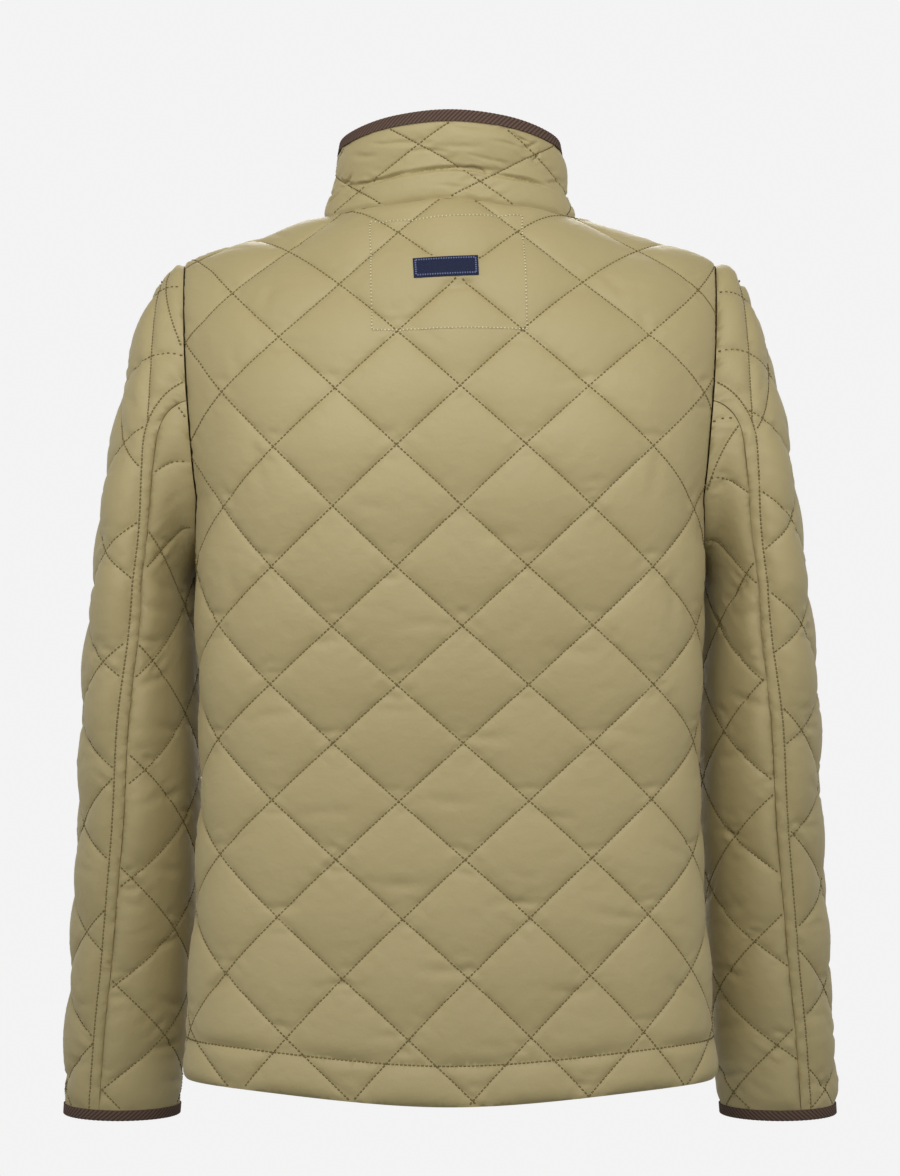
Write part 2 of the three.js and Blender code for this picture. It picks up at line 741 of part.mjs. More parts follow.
// The curve that one upright line of the sleeve follows from the bicep up to the armhole.
const CAP_STEPS = 32;
function capCurve(angle) {
  return remember(`cap ${angle.toFixed(5)}`, () => {
    const start = sleeveRing(BICEP, angle);
    const fromOuterSide = angle > Math.PI ? angle - 2 * Math.PI : angle;
    const share = Math.abs(ringLength(BICEP, fromOuterSide)) / ringLength(BICEP, Math.PI);
    const backHalf = angle >= 0 && angle <= Math.PI;
    const loop = armholeLoop(backHalf ? "back" : "front");
    const length = Math.min(share, 1) * loop[loop.length - 1].length;
    const onLoop = (axis) => swap(loop, "length", axis, length);
    const end = new THREE.Vector3(onLoop("x"), onLoop("y"), onLoop("z"));
    const climb = end.z - start.z;
    const reach = start.x - end.x;
    const slope = radians(CAP.shoulderSlope) * Math.max(0, Math.cos(angle));
    const upwards = new THREE.Vector3(-CAP.lean, 0, 1);
    const outwards = new THREE.Vector3(Math.cos(slope), 0, -Math.sin(slope));
    const low = start.clone().addScaledVector(upwards, CAP.rise * climb);
    const high = end.clone().addScaledVector(outwards, CAP.reach * reach);
    const curve = new THREE.CubicBezierCurve3(start, low, high, end);
    return { curve, rows: measure((u) => curve.getPoint(u), 0, 1, CAP_STEPS) };
  });
}

function sleeve(panel, s, t) {
  if (t <= BICEP) return sleeveRing(t, sleeveAngle(panel, s, t));
  const { curve, rows } = capCurve(sleeveAngle(panel, s, BICEP));
  const beyond = t - BICEP - rows[CAP_STEPS].length;
  if (beyond > 0) return curve.getPoint(1).addScaledVector(curve.getTangent(1), beyond);
  return curve.getPoint(swap(rows, "length", "parameter", t - BICEP));
}

const sleeveFace = {
  upper: facing((s, t) => sleeve("upper", s, t), 1),
  under: facing((s, t) => sleeve("under", s, t), -1),
};

const capHeight = (panel, s) => BICEP + capCurve(sleeveAngle(panel, s, BICEP)).rows[CAP_STEPS].length;

// Where a sleeve panel's two seams lie across it.
function sleeveSeam(panel, t, which) {
  const z = Math.min(t, BICEP);
  const angle = radians(which === "back" ? read(BACK_SEAM, "angle", t) : FRONT_SEAM_ANGLE);
  if (panel === "upper") return ringLength(z, angle);
  const around = which === "back" ? angle : angle + 2 * Math.PI;
  return ringLength(z, Math.PI) - ringLength(z, around);
}

// The under sleeve is pressed flat where it faces the body.
const SLEEVE_PRESS = { flatTo: 40, fullFrom: 80 };
function sleevePress(panel, s) {
  if (panel === "upper") return 1;
  return mix(PRESSED, 1, fade(Math.abs(s), SLEEVE_PRESS.flatTo, SLEEVE_PRESS.fullFrom));
}

function sleevePanel(panel, centre, columns) {
  const { across, up, row } = SLEEVE_QUILT;
  const edges = {
    backSeam: (s, t) => sleeveSeam(panel, t, "back") - SEAM_GAP / 2 - s,
    frontSeam: (s, t) => s - sleeveSeam(panel, t, "front") - SEAM_GAP / 2,
    armhole: (s, t) => capHeight(panel, s) - t,
    cuff: (s, t) => t - CUFF,
  };
  const bindingTop = (s, t) => t - CUFF - BINDING.width - 1;
  let sheet = latticeSheet(columns, SLEEVE_ROWS, (i, j) => {
    const s = centre + (across * i) / CELLS;
    const t = row + (up * j) / CELLS;
    return { s, t, puff: PUFF * swell(i, j) * sleevePress(panel, s) };
  });
  for (const [name, line] of Object.entries(edges)) {
    sheet = cut(sheet, name, line);
    if (name in EDGE_STEPS) refine(sheet, name, line, EDGE_STEPS[name]);
  }
  for (const name of ["backSeam", "frontSeam"])
    refine(sheet, name, edges[name], EDGE_STEPS.seams, (point) => point.t > BICEP);
  sheet = cut(sheet, "binding", bindingTop, { bothSides: true });
  return pinch(evenOut(refine(sheet, "binding", bindingTop, EDGE_STEPS.binding)));
}

// The collar. Its angle starts at the middle of the back and ends at the middle of the front.
function collarPlan(share, angle) {
  const deep = Math.cos(angle);
  const reach = read(COLLAR, deep > 0 ? "back" : "front", share);
  return new THREE.Vector2(read(COLLAR, "half", share) * Math.sin(angle), reach * deep);
}

// The height of the neck seam: a place on the body above a point of the neck outline. It is
// found by steps from a first guess, up the cloth of the chest.
const SEAM_SEARCH = { guess: 230, steps: 14, longest: 40, least: 0.5 };
function neckSeam(angle) {
  return remember(`neck ${angle.toFixed(4)}`, () => {
    const { guess, steps, longest, least } = SEAM_SEARCH;
    const plan = collarPlan(0, angle);
    const panel = plan.y > 0 ? "back" : "front";
    let [s, t] = [Math.max(Math.abs(plan.x), least), CHEST + guess];
    const aim = new THREE.Vector2(Math.abs(plan.x), plan.y);
    for (let k = 0; k < steps; k += 1) {
      const at = torso(panel, s, t);
      const bySide = torso(panel, s + PROBE, t).sub(at).divideScalar(PROBE);
      const byHeight = torso(panel, s, t + PROBE).sub(at).divideScalar(PROBE);
      const [dx, dy] = [aim.x - at.x, aim.y - at.y];
      const determinant = bySide.x * byHeight.y - bySide.y * byHeight.x;
      s = Math.max(least, s + (dx * byHeight.y - dy * byHeight.x) / determinant);
      t += THREE.MathUtils.clamp((dy * bySide.x - dx * bySide.y) / determinant, -longest, longest);
    }
    const { place, normal } = torsoFace[panel](s, t);
    return { z: place.z, clear: SEAM_GAP + WALL * normal.z };
  });
}

const COLLAR_STEPS = 180;
const collarRound = measure((angle) => collarPlan(0, angle), 0, Math.PI, COLLAR_STEPS);
const HALF_COLLAR = collarRound[COLLAR_STEPS].length;

function collar(s, t) {
  const angle = swap(collarRound, "length", "parameter", Math.abs(s));
  const share = t / COLLAR_HEIGHT;
  const plan = collarPlan(share, angle);
  const { z, clear } = neckSeam(angle);
  const top = read(COLLAR_TOP, "z", THREE.MathUtils.radToDeg(angle));
  return new THREE.Vector3(Math.sign(s || 1) * plan.x, plan.y, mix(z + clear, top, share));
}

const collarFace = facing(collar, -1);
const COLLAR_END = HALF_COLLAR - FRONT_EDGE;

// The columns of the collar, at the quilting's own spacing, and one at each end.
function collarColumns() {
  const step = COLLAR_QUILT.across / (2 * CELLS);
  const from = Math.ceil((-COLLAR_END + step / 3 - COLLAR_QUILT.centre) / step);
  const to = Math.floor((COLLAR_END - step / 3 - COLLAR_QUILT.centre) / step);
  const column = (k) => COLLAR_QUILT.centre + (from + k) * step;
  return [-COLLAR_END, ...Array.from({ length: to - from + 1 }, (_, k) => column(k)), COLLAR_END];
}

function collarSheet() {
  const { across, up, row, centre } = COLLAR_QUILT;
  const columns = collarColumns();
  const last = COLLAR_ROWS.length - 1;
  const turns = (s, t) => {
    const [sideways, upwards] = [(s - centre) / across, (t - row) / up];
    return [sideways + upwards, sideways - upwards];
  };
  const at = (list, i) => mix(list[Math.floor(i)], list[Math.ceil(i)], i % 1);
  const lines = (i, j) => turns(at(columns, i), at(COLLAR_ROWS, j));
  const place = (i, j) => {
    const [s, t] = [columns[i], COLLAR_ROWS[j]];
    const [one, other] = turns(s, t).map((turn) => Math.abs(Math.sin(Math.PI * turn)));
    const edge = i === 0 || i === columns.length - 1 || j === 0 || j >= last - 1;
    const crease = t === COLLAR_CREASE ? PRESSED : 1;
    return { s, t, puff: edge ? 0 : PUFF * crease * (one * other) ** PUFF_ROUNDNESS };
  };
  return latticeSheet({ from: 0, to: columns.length - 1 }, { from: 0, to: last }, place, lines);
}

// A folded tape seen end on: a channel that opens away from the edge that it covers.
function bindingProfile() {
  const { width, thickness, clearance } = BINDING;
  const [outer, inner] = [WALL + clearance, -clearance];
  return [
    [outer, width],
    [outer + thickness, width],
    [outer + thickness, -clearance - thickness],
    [inner - thickness, -clearance - thickness],
    [inner - thickness, width],
    [inner, width],
    [inner, -clearance],
    [outer, -clearance],
  ].map(([out, up]) => new THREE.Vector2(out, up));
}

function collarBinding() {
  const stations = collarColumns().map((s) => {
    const { place, normal } = collarFace(s, COLLAR_HEIGHT);
    const down = collar(s, COLLAR_HEIGHT - BINDING.width).sub(place).divideScalar(BINDING.width);
    return (p) => place.clone().addScaledVector(normal, p.x).addScaledVector(down, p.y);
  });
  return sweep(stations, bindingProfile(), false);
}

const CUFF_STATIONS = 38;
function cuffBinding() {
  const round = 2 * ringLength(CUFF, Math.PI);
  const stations = Array.from({ length: CUFF_STATIONS }, (_, k) => {
    const s = (round * k) / CUFF_STATIONS - round / 3;
    const { place, normal } = sleeveFace.upper(s, CUFF);
    const up = sleeve("upper", s, CUFF + BINDING.width).sub(place).divideScalar(BINDING.width);
    return (p) => place.clone().addScaledVector(normal, p.x).addScaledVector(up, p.y);
  });
  return sweep(stations, bindingProfile(), true);
}

// Where the neck seam crosses the middle of the front, as a height on the cloth.
function frontNeckHeight() {
  let [low, high] = [CHEST, ridgeHeight("front", 0)];
  for (let k = 0; k < HALVINGS; k += 1) {
    const middle = (low + high) / 2;
    if (neckMargin("front", 0, middle) > 0) low = middle;
    else high = middle;
  }
  return low;
}

// The zip runs down the middle of the front, so its path lies in the plane x = 0. It starts just
// above the hem.
const ZIP = { aboveHem: 1, bodySteps: 20, smoothing: 6, leastStep: 2 };
function zipPath() {
  const bottom = hemHeight("front", 0) + ZIP.aboveHem;
  const neck = frontNeckHeight();
  const places = [];
  for (let k = 0; k <= ZIP.bodySteps; k += 1)
    places.push(torso("front", 0, mix(bottom, neck, k / ZIP.bodySteps)));
  for (const t of COLLAR_ROWS) places.push(collar(HALF_COLLAR, t).setX(0));
  return measure((k) => places[Math.round(k)], 0, places.length - 1, places.length - 1).map((row, k) => ({
    length: row.length,
    y: places[k].y,
    z: places[k].z,
  }));
}

const zip = zipPath();
const ZIP_LENGTH = zip[zip.length - 1].length;
const SLIDER_AT = ZIP_LENGTH - SLIDER.below;

// The place and the outward direction at a length along the zip.
function zipFrame(length) {
  const at = (l, axis) => swap(zip, "length", axis, l);
  const place = new THREE.Vector3(0, at(length, "y"), at(length, "z"));
  const low = Math.max(0, length - ZIP.smoothing);
  const high = Math.min(ZIP_LENGTH, length + ZIP.smoothing);
  const [forward, rise] = ["y", "z"].map((axis) => at(high, axis) - at(low, axis));
  const up = new THREE.Vector3(0, forward, rise).normalize();
  return { place, up, out: new THREE.Vector3(0, -up.z, up.y) };
}

function alongZip(from, to, profile) {
  const within = (length) => length > from + ZIP.leastStep && length < to - ZIP.leastStep;
  const inside = zip.map((row) => row.length).filter(within);
  const stations = [from, ...inside, to].map((length) => {
    const { place, out } = zipFrame(length);
    return (p) => new THREE.Vector3(p.x, 0, 0).add(place).addScaledVector(out, p.y);
  });
  return sweep(stations, profile.map(([x, out]) => new THREE.Vector2(x, out)), false);
}

function tapeGeometry() {
  const { inner, outer, depth, drop, thickness } = TAPE;
  return alongZip(0, ZIP_LENGTH - BINDING.width - 1, [
    [inner, depth],
    [inner, depth - thickness],
    [outer, drop - thickness],
    [outer, drop],
  ]);
}

function chainGeometry() {
  const { half, low, high } = CHAIN;
  const from = STOP.length + SEAM_GAP;
  const to = SLIDER_AT - SLIDER.length / 2 - SEAM_GAP;
  return alongZip(from, to, [
    [-half, low],
    [half, low],
    [half, high],
    [-half, high],
  ]);
}

// Parts on the zip are built upright at the origin: x across, -y outwards and z up the zip.
function block(x, out, z) {
  const geometry = new THREE.BoxGeometry(x[1] - x[0], out[1] - out[0], z[1] - z[0]);
  return geometry.translate((x[0] + x[1]) / 2, -(out[0] + out[1]) / 2, (z[0] + z[1]) / 2);
}

function rod(radius, half, height, sides) {
  const upright = new THREE.CylinderGeometry(radius, radius, 2 * half, sides);
  return upright.rotateZ(QUARTER).translate(0, -height, 0);
}

function solid(geometry) {
  for (const name of ["normal", "uv"]) geometry.deleteAttribute(name);
  const merged = mergeVertices(geometry, 1e-4);
  return new wasm.Manifold(
    new wasm.Mesh({
      numProp: 3,
      vertProperties: new Float32Array(merged.attributes.position.array),
      triVerts: new Uint32Array(merged.index.array),
    }),
  );
}

function geometryOf(made) {
  const { vertProperties, triVerts, numProp } = made.getMesh();
  const geometry = new THREE.BufferGeometry();
  const interleaved = new THREE.InterleavedBuffer(vertProperties, numProp);
  geometry.setAttribute("position", new THREE.InterleavedBufferAttribute(interleaved, 3, 0));
  geometry.setIndex(new THREE.BufferAttribute(triVerts, 1));
  return geometry;
}

const union = (geometries) => geometries.map(solid).reduce((sum, part) => sum.add(part));

function sliderGeometry() {
  const { length, half, waist, top, floor, keel, keelThickness, overlap } = SLIDER;
  const run = [-length / 2, length / 2];
  const cheekRun = [-CHEEK.length / 2, CHEEK.length / 2];
  return geometryOf(
    union([
      block([-half, half], [floor, top], run),
      block([-waist, waist], [keel + overlap, floor + overlap], run),
      block([-half, half], [keel, keel + keelThickness], run),
      block([-CHEEK.outer, -CHEEK.inner], [floor, CHEEK.top], cheekRun),
      block([CHEEK.inner, CHEEK.outer], [floor, CHEEK.top], cheekRun),
      rod(BAR.radius, CHEEK.outer, BAR.height, ROD_SIDES),
    ]),
  );
}

// The pull: an eye on the bar, a narrow neck and a rounded tongue that hangs from it.
function pullGeometry() {
  const { hole, eye, neck, neckTop, neckEnd, shoulder, width, length, thickness, lift } = PULL;
  const corner = width / 2;
  const tongue = new THREE.Shape();
  tongue.absarc(0, -length + corner, corner, Math.PI, 2 * Math.PI);
  tongue.lineTo(corner, -shoulder);
  tongue.lineTo(neck / 2, -neckEnd);
  tongue.lineTo(-neck / 2, -neckEnd);
  tongue.lineTo(-corner, -shoulder);
  const plate = new THREE.ExtrudeGeometry(tongue, {
    depth: thickness,
    bevelEnabled: false,
    curveSegments: ROD_SIDES / 2,
  });
  plate.rotateX(QUARTER).translate(0, -lift, 0);
  const made = union([
    rod(eye, neck / 2, BAR.height, ROD_SIDES),
    block([-neck / 2, neck / 2], [lift, lift + thickness], [-shoulder, -neckTop]),
    plate,
  ]);
  return geometryOf(made.subtract(solid(rod(hole, neck, BAR.height, ROD_SIDES))));
}

// The assembly.
function mesh(name, geometry, material) {
  const made = new THREE.Mesh(geometry, MATERIALS[material]);
  made.name = name;
  return made;
}

const jacket = new THREE.Group();
jacket.add(mesh("back", clothWall(backSheet, torsoFace.back), "cloth"));
jacket.add(mesh("back_label", labelGeometry(), "label"));

const upperSheet = sleevePanel("upper", SLEEVE_QUILT.upperCentre, { from: -9, to: 6 });
const underSheet = sleevePanel("under", SLEEVE_QUILT.underCentre, { from: -6, to: 6 });
const sidePieces = {
  front: [clothWall(frontSheet, torsoFace.front), "cloth"],
  sleeve_upper: [clothWall(upperSheet, sleeveFace.upper), "cloth"],
  sleeve_under: [clothWall(underSheet, sleeveFace.under), "cloth"],
  cuff_binding: [cuffBinding(), "binding"],
  zip_tape: [tapeGeometry(), "tape"],
};
for (const [side, sign] of [["left", 1], ["right", -1]]) {
  const half = new THREE.Group();
  half.scale.x = sign;
  for (const [name, [geometry, material]] of Object.entries(sidePieces))
    half.add(mesh(`${name}_${side}`, geometry, material));
  jacket.add(half);
}

jacket.add(mesh("collar", clothWall(collarSheet(), collarFace), "cloth"));
jacket.add(mesh("collar_binding", collarBinding(), "binding"));
jacket.add(mesh("zip_chain", chainGeometry(), "brass"));

function onZip(length) {
  const { place, up } = zipFrame(length);
  const group = new THREE.Group();
  group.position.copy(place);
  group.rotation.x = -Math.atan2(up.y, up.z);
  jacket.add(group);
  return group;
}

onZip(SLIDER_AT).add(
  mesh("zip_slider", sliderGeometry(), "brass"),
  mesh("zip_pull", pullGeometry(), "brass"),
);
const stopRun = [-STOP.length / 2, STOP.length / 2];
const stop = block([-STOP.half, STOP.half], [STOP.low, STOP.high], stopRun);
onZip(STOP.length / 2).add(mesh("zip_stop", stop, "brass"));

export default jacket;
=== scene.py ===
# A diamond-quilted jacket with a stand collar and a front zip, filled out as when it is worn.
# Sizes are in millimetres and are turned to metres where a mesh gets its place.
# +Z is up, the front faces -Y and the wearer's left is +X.
import math

import bmesh
import bpy
import numpy as np
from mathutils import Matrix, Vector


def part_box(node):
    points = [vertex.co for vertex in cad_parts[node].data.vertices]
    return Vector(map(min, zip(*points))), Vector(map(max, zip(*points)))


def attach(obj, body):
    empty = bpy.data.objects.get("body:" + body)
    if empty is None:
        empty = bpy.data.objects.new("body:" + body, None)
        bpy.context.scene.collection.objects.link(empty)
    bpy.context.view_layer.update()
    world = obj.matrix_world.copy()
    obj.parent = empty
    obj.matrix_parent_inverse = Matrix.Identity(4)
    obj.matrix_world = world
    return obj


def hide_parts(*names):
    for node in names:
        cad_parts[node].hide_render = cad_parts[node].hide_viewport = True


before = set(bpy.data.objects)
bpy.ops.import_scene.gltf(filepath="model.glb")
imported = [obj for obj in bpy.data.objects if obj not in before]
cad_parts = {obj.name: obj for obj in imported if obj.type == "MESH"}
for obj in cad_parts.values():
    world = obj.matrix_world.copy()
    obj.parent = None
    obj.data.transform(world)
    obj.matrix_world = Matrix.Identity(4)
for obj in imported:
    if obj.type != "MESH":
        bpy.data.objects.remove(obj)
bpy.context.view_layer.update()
MM = 0.001


# The back panel. Two faces of brushed polyester with thin wadding between them, quilted in
# diamonds, cut in one piece from the collar to the hem. The wadding stands up between the
# stitched lines and is pinched flat along them and at the seams.
def table(columns, *rows):
    """Columns of numbers by name."""
    return dict(zip(columns.split(), np.array(rows, float).T))


WALL = 2.0  # thickness along the stitched lines
PUFF = 5.5  # how far the middle of a diamond stands out past that
PUFF_ROUNDNESS = 0.53
PRESSED = 0.5  # share of the puff left where body and sleeve face each other
SEAM_GAP = 0.3
QUILT_ACROSS = 101.0
QUILT_UP = 94.5
QUILT_SHORTENING = 5.0
BACK_QUILT_CENTRE = -11.7
CHEST = -231.0
CHEST_HALF = 203.0
SHOULDER_FLARE = 0.08
TORSO = table(
    "z half back front side back_round front_round",
    (-725, 212, 124, -126, 30, 3.6, 2.1),
    (-650, 207, 121, -125, 30, 3.6, 2.1),
    (-560, 200, 118, -124, 30, 3.6, 2.1),
    (-450, 195, 116, -124, 30, 3.6, 2.1),
    (-350, 198, 121, -127, 26, 3.6, 2.2),
    (-290, 201, 125, -129, 14, 3.5, 2.6),
    (-231, 203, 128, -129, 5, 3.4, 3.1),
)
RIDGE = table(
    "x z", (-60, 20), (0, 40), (60, 20), (100, -5), (140, -21), (180, -31), (214, -43), (240, -66)
)
NECK_HALF = 100.0
NECK_REACH = {"back": 62.0, "front": 98.0}
ARMHOLE_BOTTOM = -273.0
ARMHOLE_MIDDLE = -165.0
ARMHOLE_MIDDLE_X = 196.0
ARMHOLE_TIP_X = 198.5
HEM = {"back": -707.5, "front": -710.0}
HEM_SIDE = -692.0
HEM_LEVEL_FROM = 0.85
HEM_TURN_UP = 32.0
QUARTER = math.pi / 2
SECTION_ANGLES = np.linspace(0, QUARTER, 65)
ARCH_ANGLES = np.linspace(0, QUARTER, 49)
PROBE = 0.5


def smooth_step(value, low, high):
    share = np.clip((value - low) / (high - low), 0, 1)
    return share * share * (3 - 2 * share)


def read(rows, column, at):
    """One column of a table at places along its first column, through smooth slopes."""
    x = next(iter(rows.values()))
    y = rows[column]
    at = np.asarray(at, float)
    order = np.arange(len(x))
    before, after = np.maximum(order - 1, 0), np.minimum(order + 1, len(x) - 1)
    slope = (y[after] - y[before]) / (x[after] - x[before])
    i = np.clip(np.searchsorted(x[1:], at), 0, len(x) - 2)
    span = x[i + 1] - x[i]
    u = (at - x[i]) / span
    rise = y[i + 1] - y[i]
    first, second = slope[i] * span, slope[i + 1] * span
    inside = y[i] + u * first + u**2 * (3 * rise - 2 * first - second)
    inside = inside + u**3 * (first + second - 2 * rise)
    below = y[0] + slope[0] * (at - x[0])
    above = y[-1] + slope[-1] * (at - x[-1])
    return np.where(at < x[0], below, np.where(at > x[-1], above, inside))


def lengths_along(points):
    """The length from the first point of each row to every point in it."""
    steps = np.linalg.norm(np.diff(points, axis=1), axis=2)
    return np.concatenate([np.zeros((len(points), 1)), np.cumsum(steps, axis=1)], axis=1)


def look_up(known, wanted, value):
    """Reads wanted at a value of known, row by row, and straight on past the ends."""
    known = np.broadcast_to(known, (len(value), np.shape(known)[-1]))
    wanted = np.broadcast_to(wanted, known.shape)
    low = np.clip((known <= value[:, None]).sum(axis=1) - 1, 0, known.shape[1] - 2)
    row = np.arange(len(value))
    share = (value - known[row, low]) / (known[row, low + 1] - known[row, low])
    return wanted[row, low] * (1 - share) + wanted[row, low + 1] * share


def section_points(panel, z, angle):
    """Points of a quarter of the body's level section, a rounded square."""
    half, side = read(TORSO, "half", z)[:, None], read(TORSO, "side", z)[:, None]
    reach = read(TORSO, panel, z)[:, None] - side
    power = read(TORSO, panel + "_round", z)[:, None]
    across, deep = np.abs(np.sin(angle)), np.abs(np.cos(angle))
    radius = (across**power + deep**power) ** (-1 / power)
    return np.stack([half * radius * across, side + reach * radius * deep], axis=2)


def side_length(panel, t):
    z = np.minimum(t, CHEST)
    levels = np.linspace(z.min(), z.max(), 200)
    length = lengths_along(section_points(panel, levels, SECTION_ANGLES))[:, -1]
    return np.interp(z, levels, length)


def section_point(panel, z, s):
    """A point at a length from the centre line. Past the side it runs straight on."""
    length = lengths_along(section_points(panel, z, SECTION_ANGLES))
    angle = look_up(length, SECTION_ANGLES, np.minimum(s, length[:, -1]))
    point = section_points(panel, z, angle[:, None])[:, 0]
    reach = read(TORSO, panel, z) - read(TORSO, "side", z)
    point[:, 1] -= np.sign(reach) * np.maximum(s - length[:, -1], 0)
    return point


def arch_points(panel, s, angle):
    """The arch of cloth that rises from a place on the chest line to the shoulder ridge."""
    base = section_point(panel, np.full(len(s), CHEST), s)[:, :, None]
    x, y = base[:, 0], base[:, 1]
    flare = SHOULDER_FLARE * (x / CHEST_HALF) ** 3
    rise = read(RIDGE, "z", x * (1 + flare)) - CHEST
    lift = np.sin(angle)
    wide = x * (1 + flare * (1 - (1 - lift) ** 3))
    return np.stack([wide, y * np.cos(angle), CHEST + rise * lift], axis=2)


def ridge_height(panel, s):
    reach = np.linspace(0, np.abs(s).max() + 1, 200)
    height = CHEST + lengths_along(arch_points(panel, reach, ARCH_ANGLES))[:, -1]
    return np.interp(np.abs(s), reach, height)


def torso(panel, s, t):
    """The inside face of the body: s across the cloth from its centre line, t up the cloth."""
    place = np.empty((len(s), 3))
    low = t <= CHEST
    place[low, :2] = section_point(panel, t[low], np.abs(s[low]))
    place[low, 2] = t[low]
    across, climb = np.abs(s[~low]), t[~low] - CHEST
    length = lengths_along(arch_points(panel, across, ARCH_ANGLES))
    angle = look_up(length, ARCH_ANGLES, np.minimum(climb, length[:, -1]))
    place[~low] = arch_points(panel, across, angle[:, None])[:, 0]
    side = 1 if panel == "back" else -1
    place[~low, 1] -= side * np.maximum(climb - length[:, -1], 0)
    place[:, 0] *= np.where(s < 0, -1, 1)
    return place


def facing(shape, outwards):
    """Turns a map from the flat cloth to its place into one that also gives the way out."""

    def face(s, t):
        across = shape(s + PROBE, t) - shape(s - PROBE, t)
        up = shape(s, t + PROBE) - shape(s, t - PROBE)
        normal = outwards * np.cross(across, up)
        return shape(s, t), normal / np.linalg.norm(normal, axis=1)[:, None]

    return face


back_face = facing(lambda s, t: torso("back", s, t), -1)
front_face = facing(lambda s, t: torso("front", s, t), 1)


def length_to_x(panel, x):
    points = section_points(panel, np.array([CHEST]), SECTION_ANGLES)
    return np.interp(x, points[0, :, 0], lengths_along(points)[0])


def armhole_edge(panel, t):
    """How far across a body panel its armhole edge lies, for each height."""
    side = side_length(panel, t)
    inner, tip = length_to_x(panel, ARMHOLE_MIDDLE_X), length_to_x(panel, ARMHOLE_TIP_X)
    u = np.clip((ARMHOLE_MIDDLE - t) / (ARMHOLE_MIDDLE - ARMHOLE_BOTTOM), 0, 1)
    scoop = side - (side - inner) * np.sqrt(1 - u * u)
    top = ridge_height(panel, np.array([tip]))[0]
    v = (t - ARMHOLE_MIDDLE) / (top - ARMHOLE_MIDDLE)
    upper = inner + (tip - inner) * v * v
    return np.where(
        t < ARMHOLE_BOTTOM, side + ARMHOLE_BOTTOM - t, np.where(t < ARMHOLE_MIDDLE, scoop, upper)
    )


def hem_height(panel, s):
    share = np.abs(s) / side_length(panel, np.array([HEM_SIDE]))[0]
    return HEM[panel] + (HEM_SIDE - HEM[panel]) * smooth_step(share, 0, HEM_LEVEL_FROM)


def neck_margin(panel, s, t):
    """How far a place on the body lies outside the neck opening, in about millimetres."""
    place = torso(panel, s, t)
    return 80 * (np.hypot(place[:, 0] / NECK_HALF, place[:, 1] / NECK_REACH[panel]) - 1)


def body_seams(panel):
    """The edges of a body panel. Each is positive on the cloth and counts millimetres."""
    return {
        "side": lambda s, t: side_length(panel, t) - SEAM_GAP / 2 - np.abs(s),
        "armhole": lambda s, t: armhole_edge(panel, t) - np.abs(s),
        "neck": lambda s, t: neck_margin(panel, s, t),
        "shoulder": lambda s, t: ridge_height(panel, s) - SEAM_GAP / 2 - t,
        "hem": lambda s, t: t - hem_height(panel, s),
    }


# The real lines wander by up to 15 mm from an even pattern. Each row is a bend or a lean of
# the whole pattern: its powers across and up the panel, then how many millimetres it moves the
# lines across and up at the panel's edge.
QUILT_DRIFT = (
    (0, 0, 2, -6),
    (0, 1, 3, -9),
    (0, 2, -2, 13),
    (0, 3, 3, 15),
    (1, 0, 4, -1),
    (1, 2, -19, -4),
    (2, 1, -8, -5),
    (3, 0, -10, 2),
)
DRIFT_ACROSS = 4.0  # diamonds from the middle of the pattern to the panel's side
DRIFT_UP = 7.5
DRIFT_MIDDLE = -2.5
DRIFT_LIMIT = 1.15  # past the panel's edge the drift stays as it is there
DRIFT_ROUNDS = 6


def body_lattice(centre, drifts=()):
    """The quilting as two counts, which are whole numbers on the stitched lines."""

    def drift(rising, falling):
        across = np.clip((rising + falling) / DRIFT_ACROSS, -DRIFT_LIMIT, DRIFT_LIMIT)
        up = (rising - falling - DRIFT_MIDDLE) / DRIFT_UP
        up = np.clip(up, -DRIFT_LIMIT, DRIFT_LIMIT)
        ds = sum((a * across**i * up**j for i, j, a, _ in drifts), 0 * across)
        dt = sum((b * across**i * up**j for i, j, _, b in drifts), 0 * across)
        return ds, dt

    def even_counts(s, t):
        above = np.maximum(t - CHEST, 0)
        shortened = QUILT_UP - np.sqrt(QUILT_UP**2 - 4 * QUILT_SHORTENING * above)
        row = np.where(t > CHEST, shortened / (2 * QUILT_SHORTENING), (t - CHEST) / QUILT_UP)
        return (s - centre) / QUILT_ACROSS + row, (s - centre) / QUILT_ACROSS - row

    def counts(s, t):
        found = even_counts(s, t)
        for _ in range(DRIFT_ROUNDS if drifts else 0):
            ds, dt = drift(*found)
            found = even_counts(s - ds, t - dt)
        return found

    def place(rising, falling):
        row = (rising - falling) / 2
        ds, dt = drift(rising, falling)
        t = CHEST + QUILT_UP * row - QUILT_SHORTENING * np.maximum(row, 0) ** 2
        return centre + QUILT_ACROSS * (rising + falling) / 2 + ds, t + dt

    return counts, place


UNDERARM_PRESS = (70, 120)  # from fully pressed to pressed as the rest of the side is
SIDE_PRESS = (15, 70)  # from pressed to full


def body_press(panel, s, t):
    """The sleeve presses the puff flat along the side, and most of all below the armhole."""
    from_edge = armhole_edge(panel, np.maximum(t, ARMHOLE_BOTTOM)) - np.abs(s)
    from_underarm = np.abs(t - (ARMHOLE_BOTTOM + ARMHOLE_MIDDLE) / 2)
    at_side = PRESSED * smooth_step(from_underarm, *UNDERARM_PRESS)
    return at_side + (1 - at_side) * smooth_step(from_edge, *SIDE_PRESS)


SEAM_SOFTNESS = 4.5  # the wadding is full again this far from a seam
EDGE_ROLL = 1.0  # how far the cloth rolls in where two pieces are sewn together
ROLL_WIDTH = 1.6
FULLNESS_SPREAD = 0.14  # how much one diamond differs from the next
LONG_PUCKERS = 4.7  # waves of the gathered cloth along one side of a diamond
SHORT_PUCKERS = 7.3
PUCKER_REACH = 0.16
FOLD_STRENGTH = 1.7  # how much deeper the creases are than their tables say
CREASE_COLUMNS = "s t turn length width depth bend"


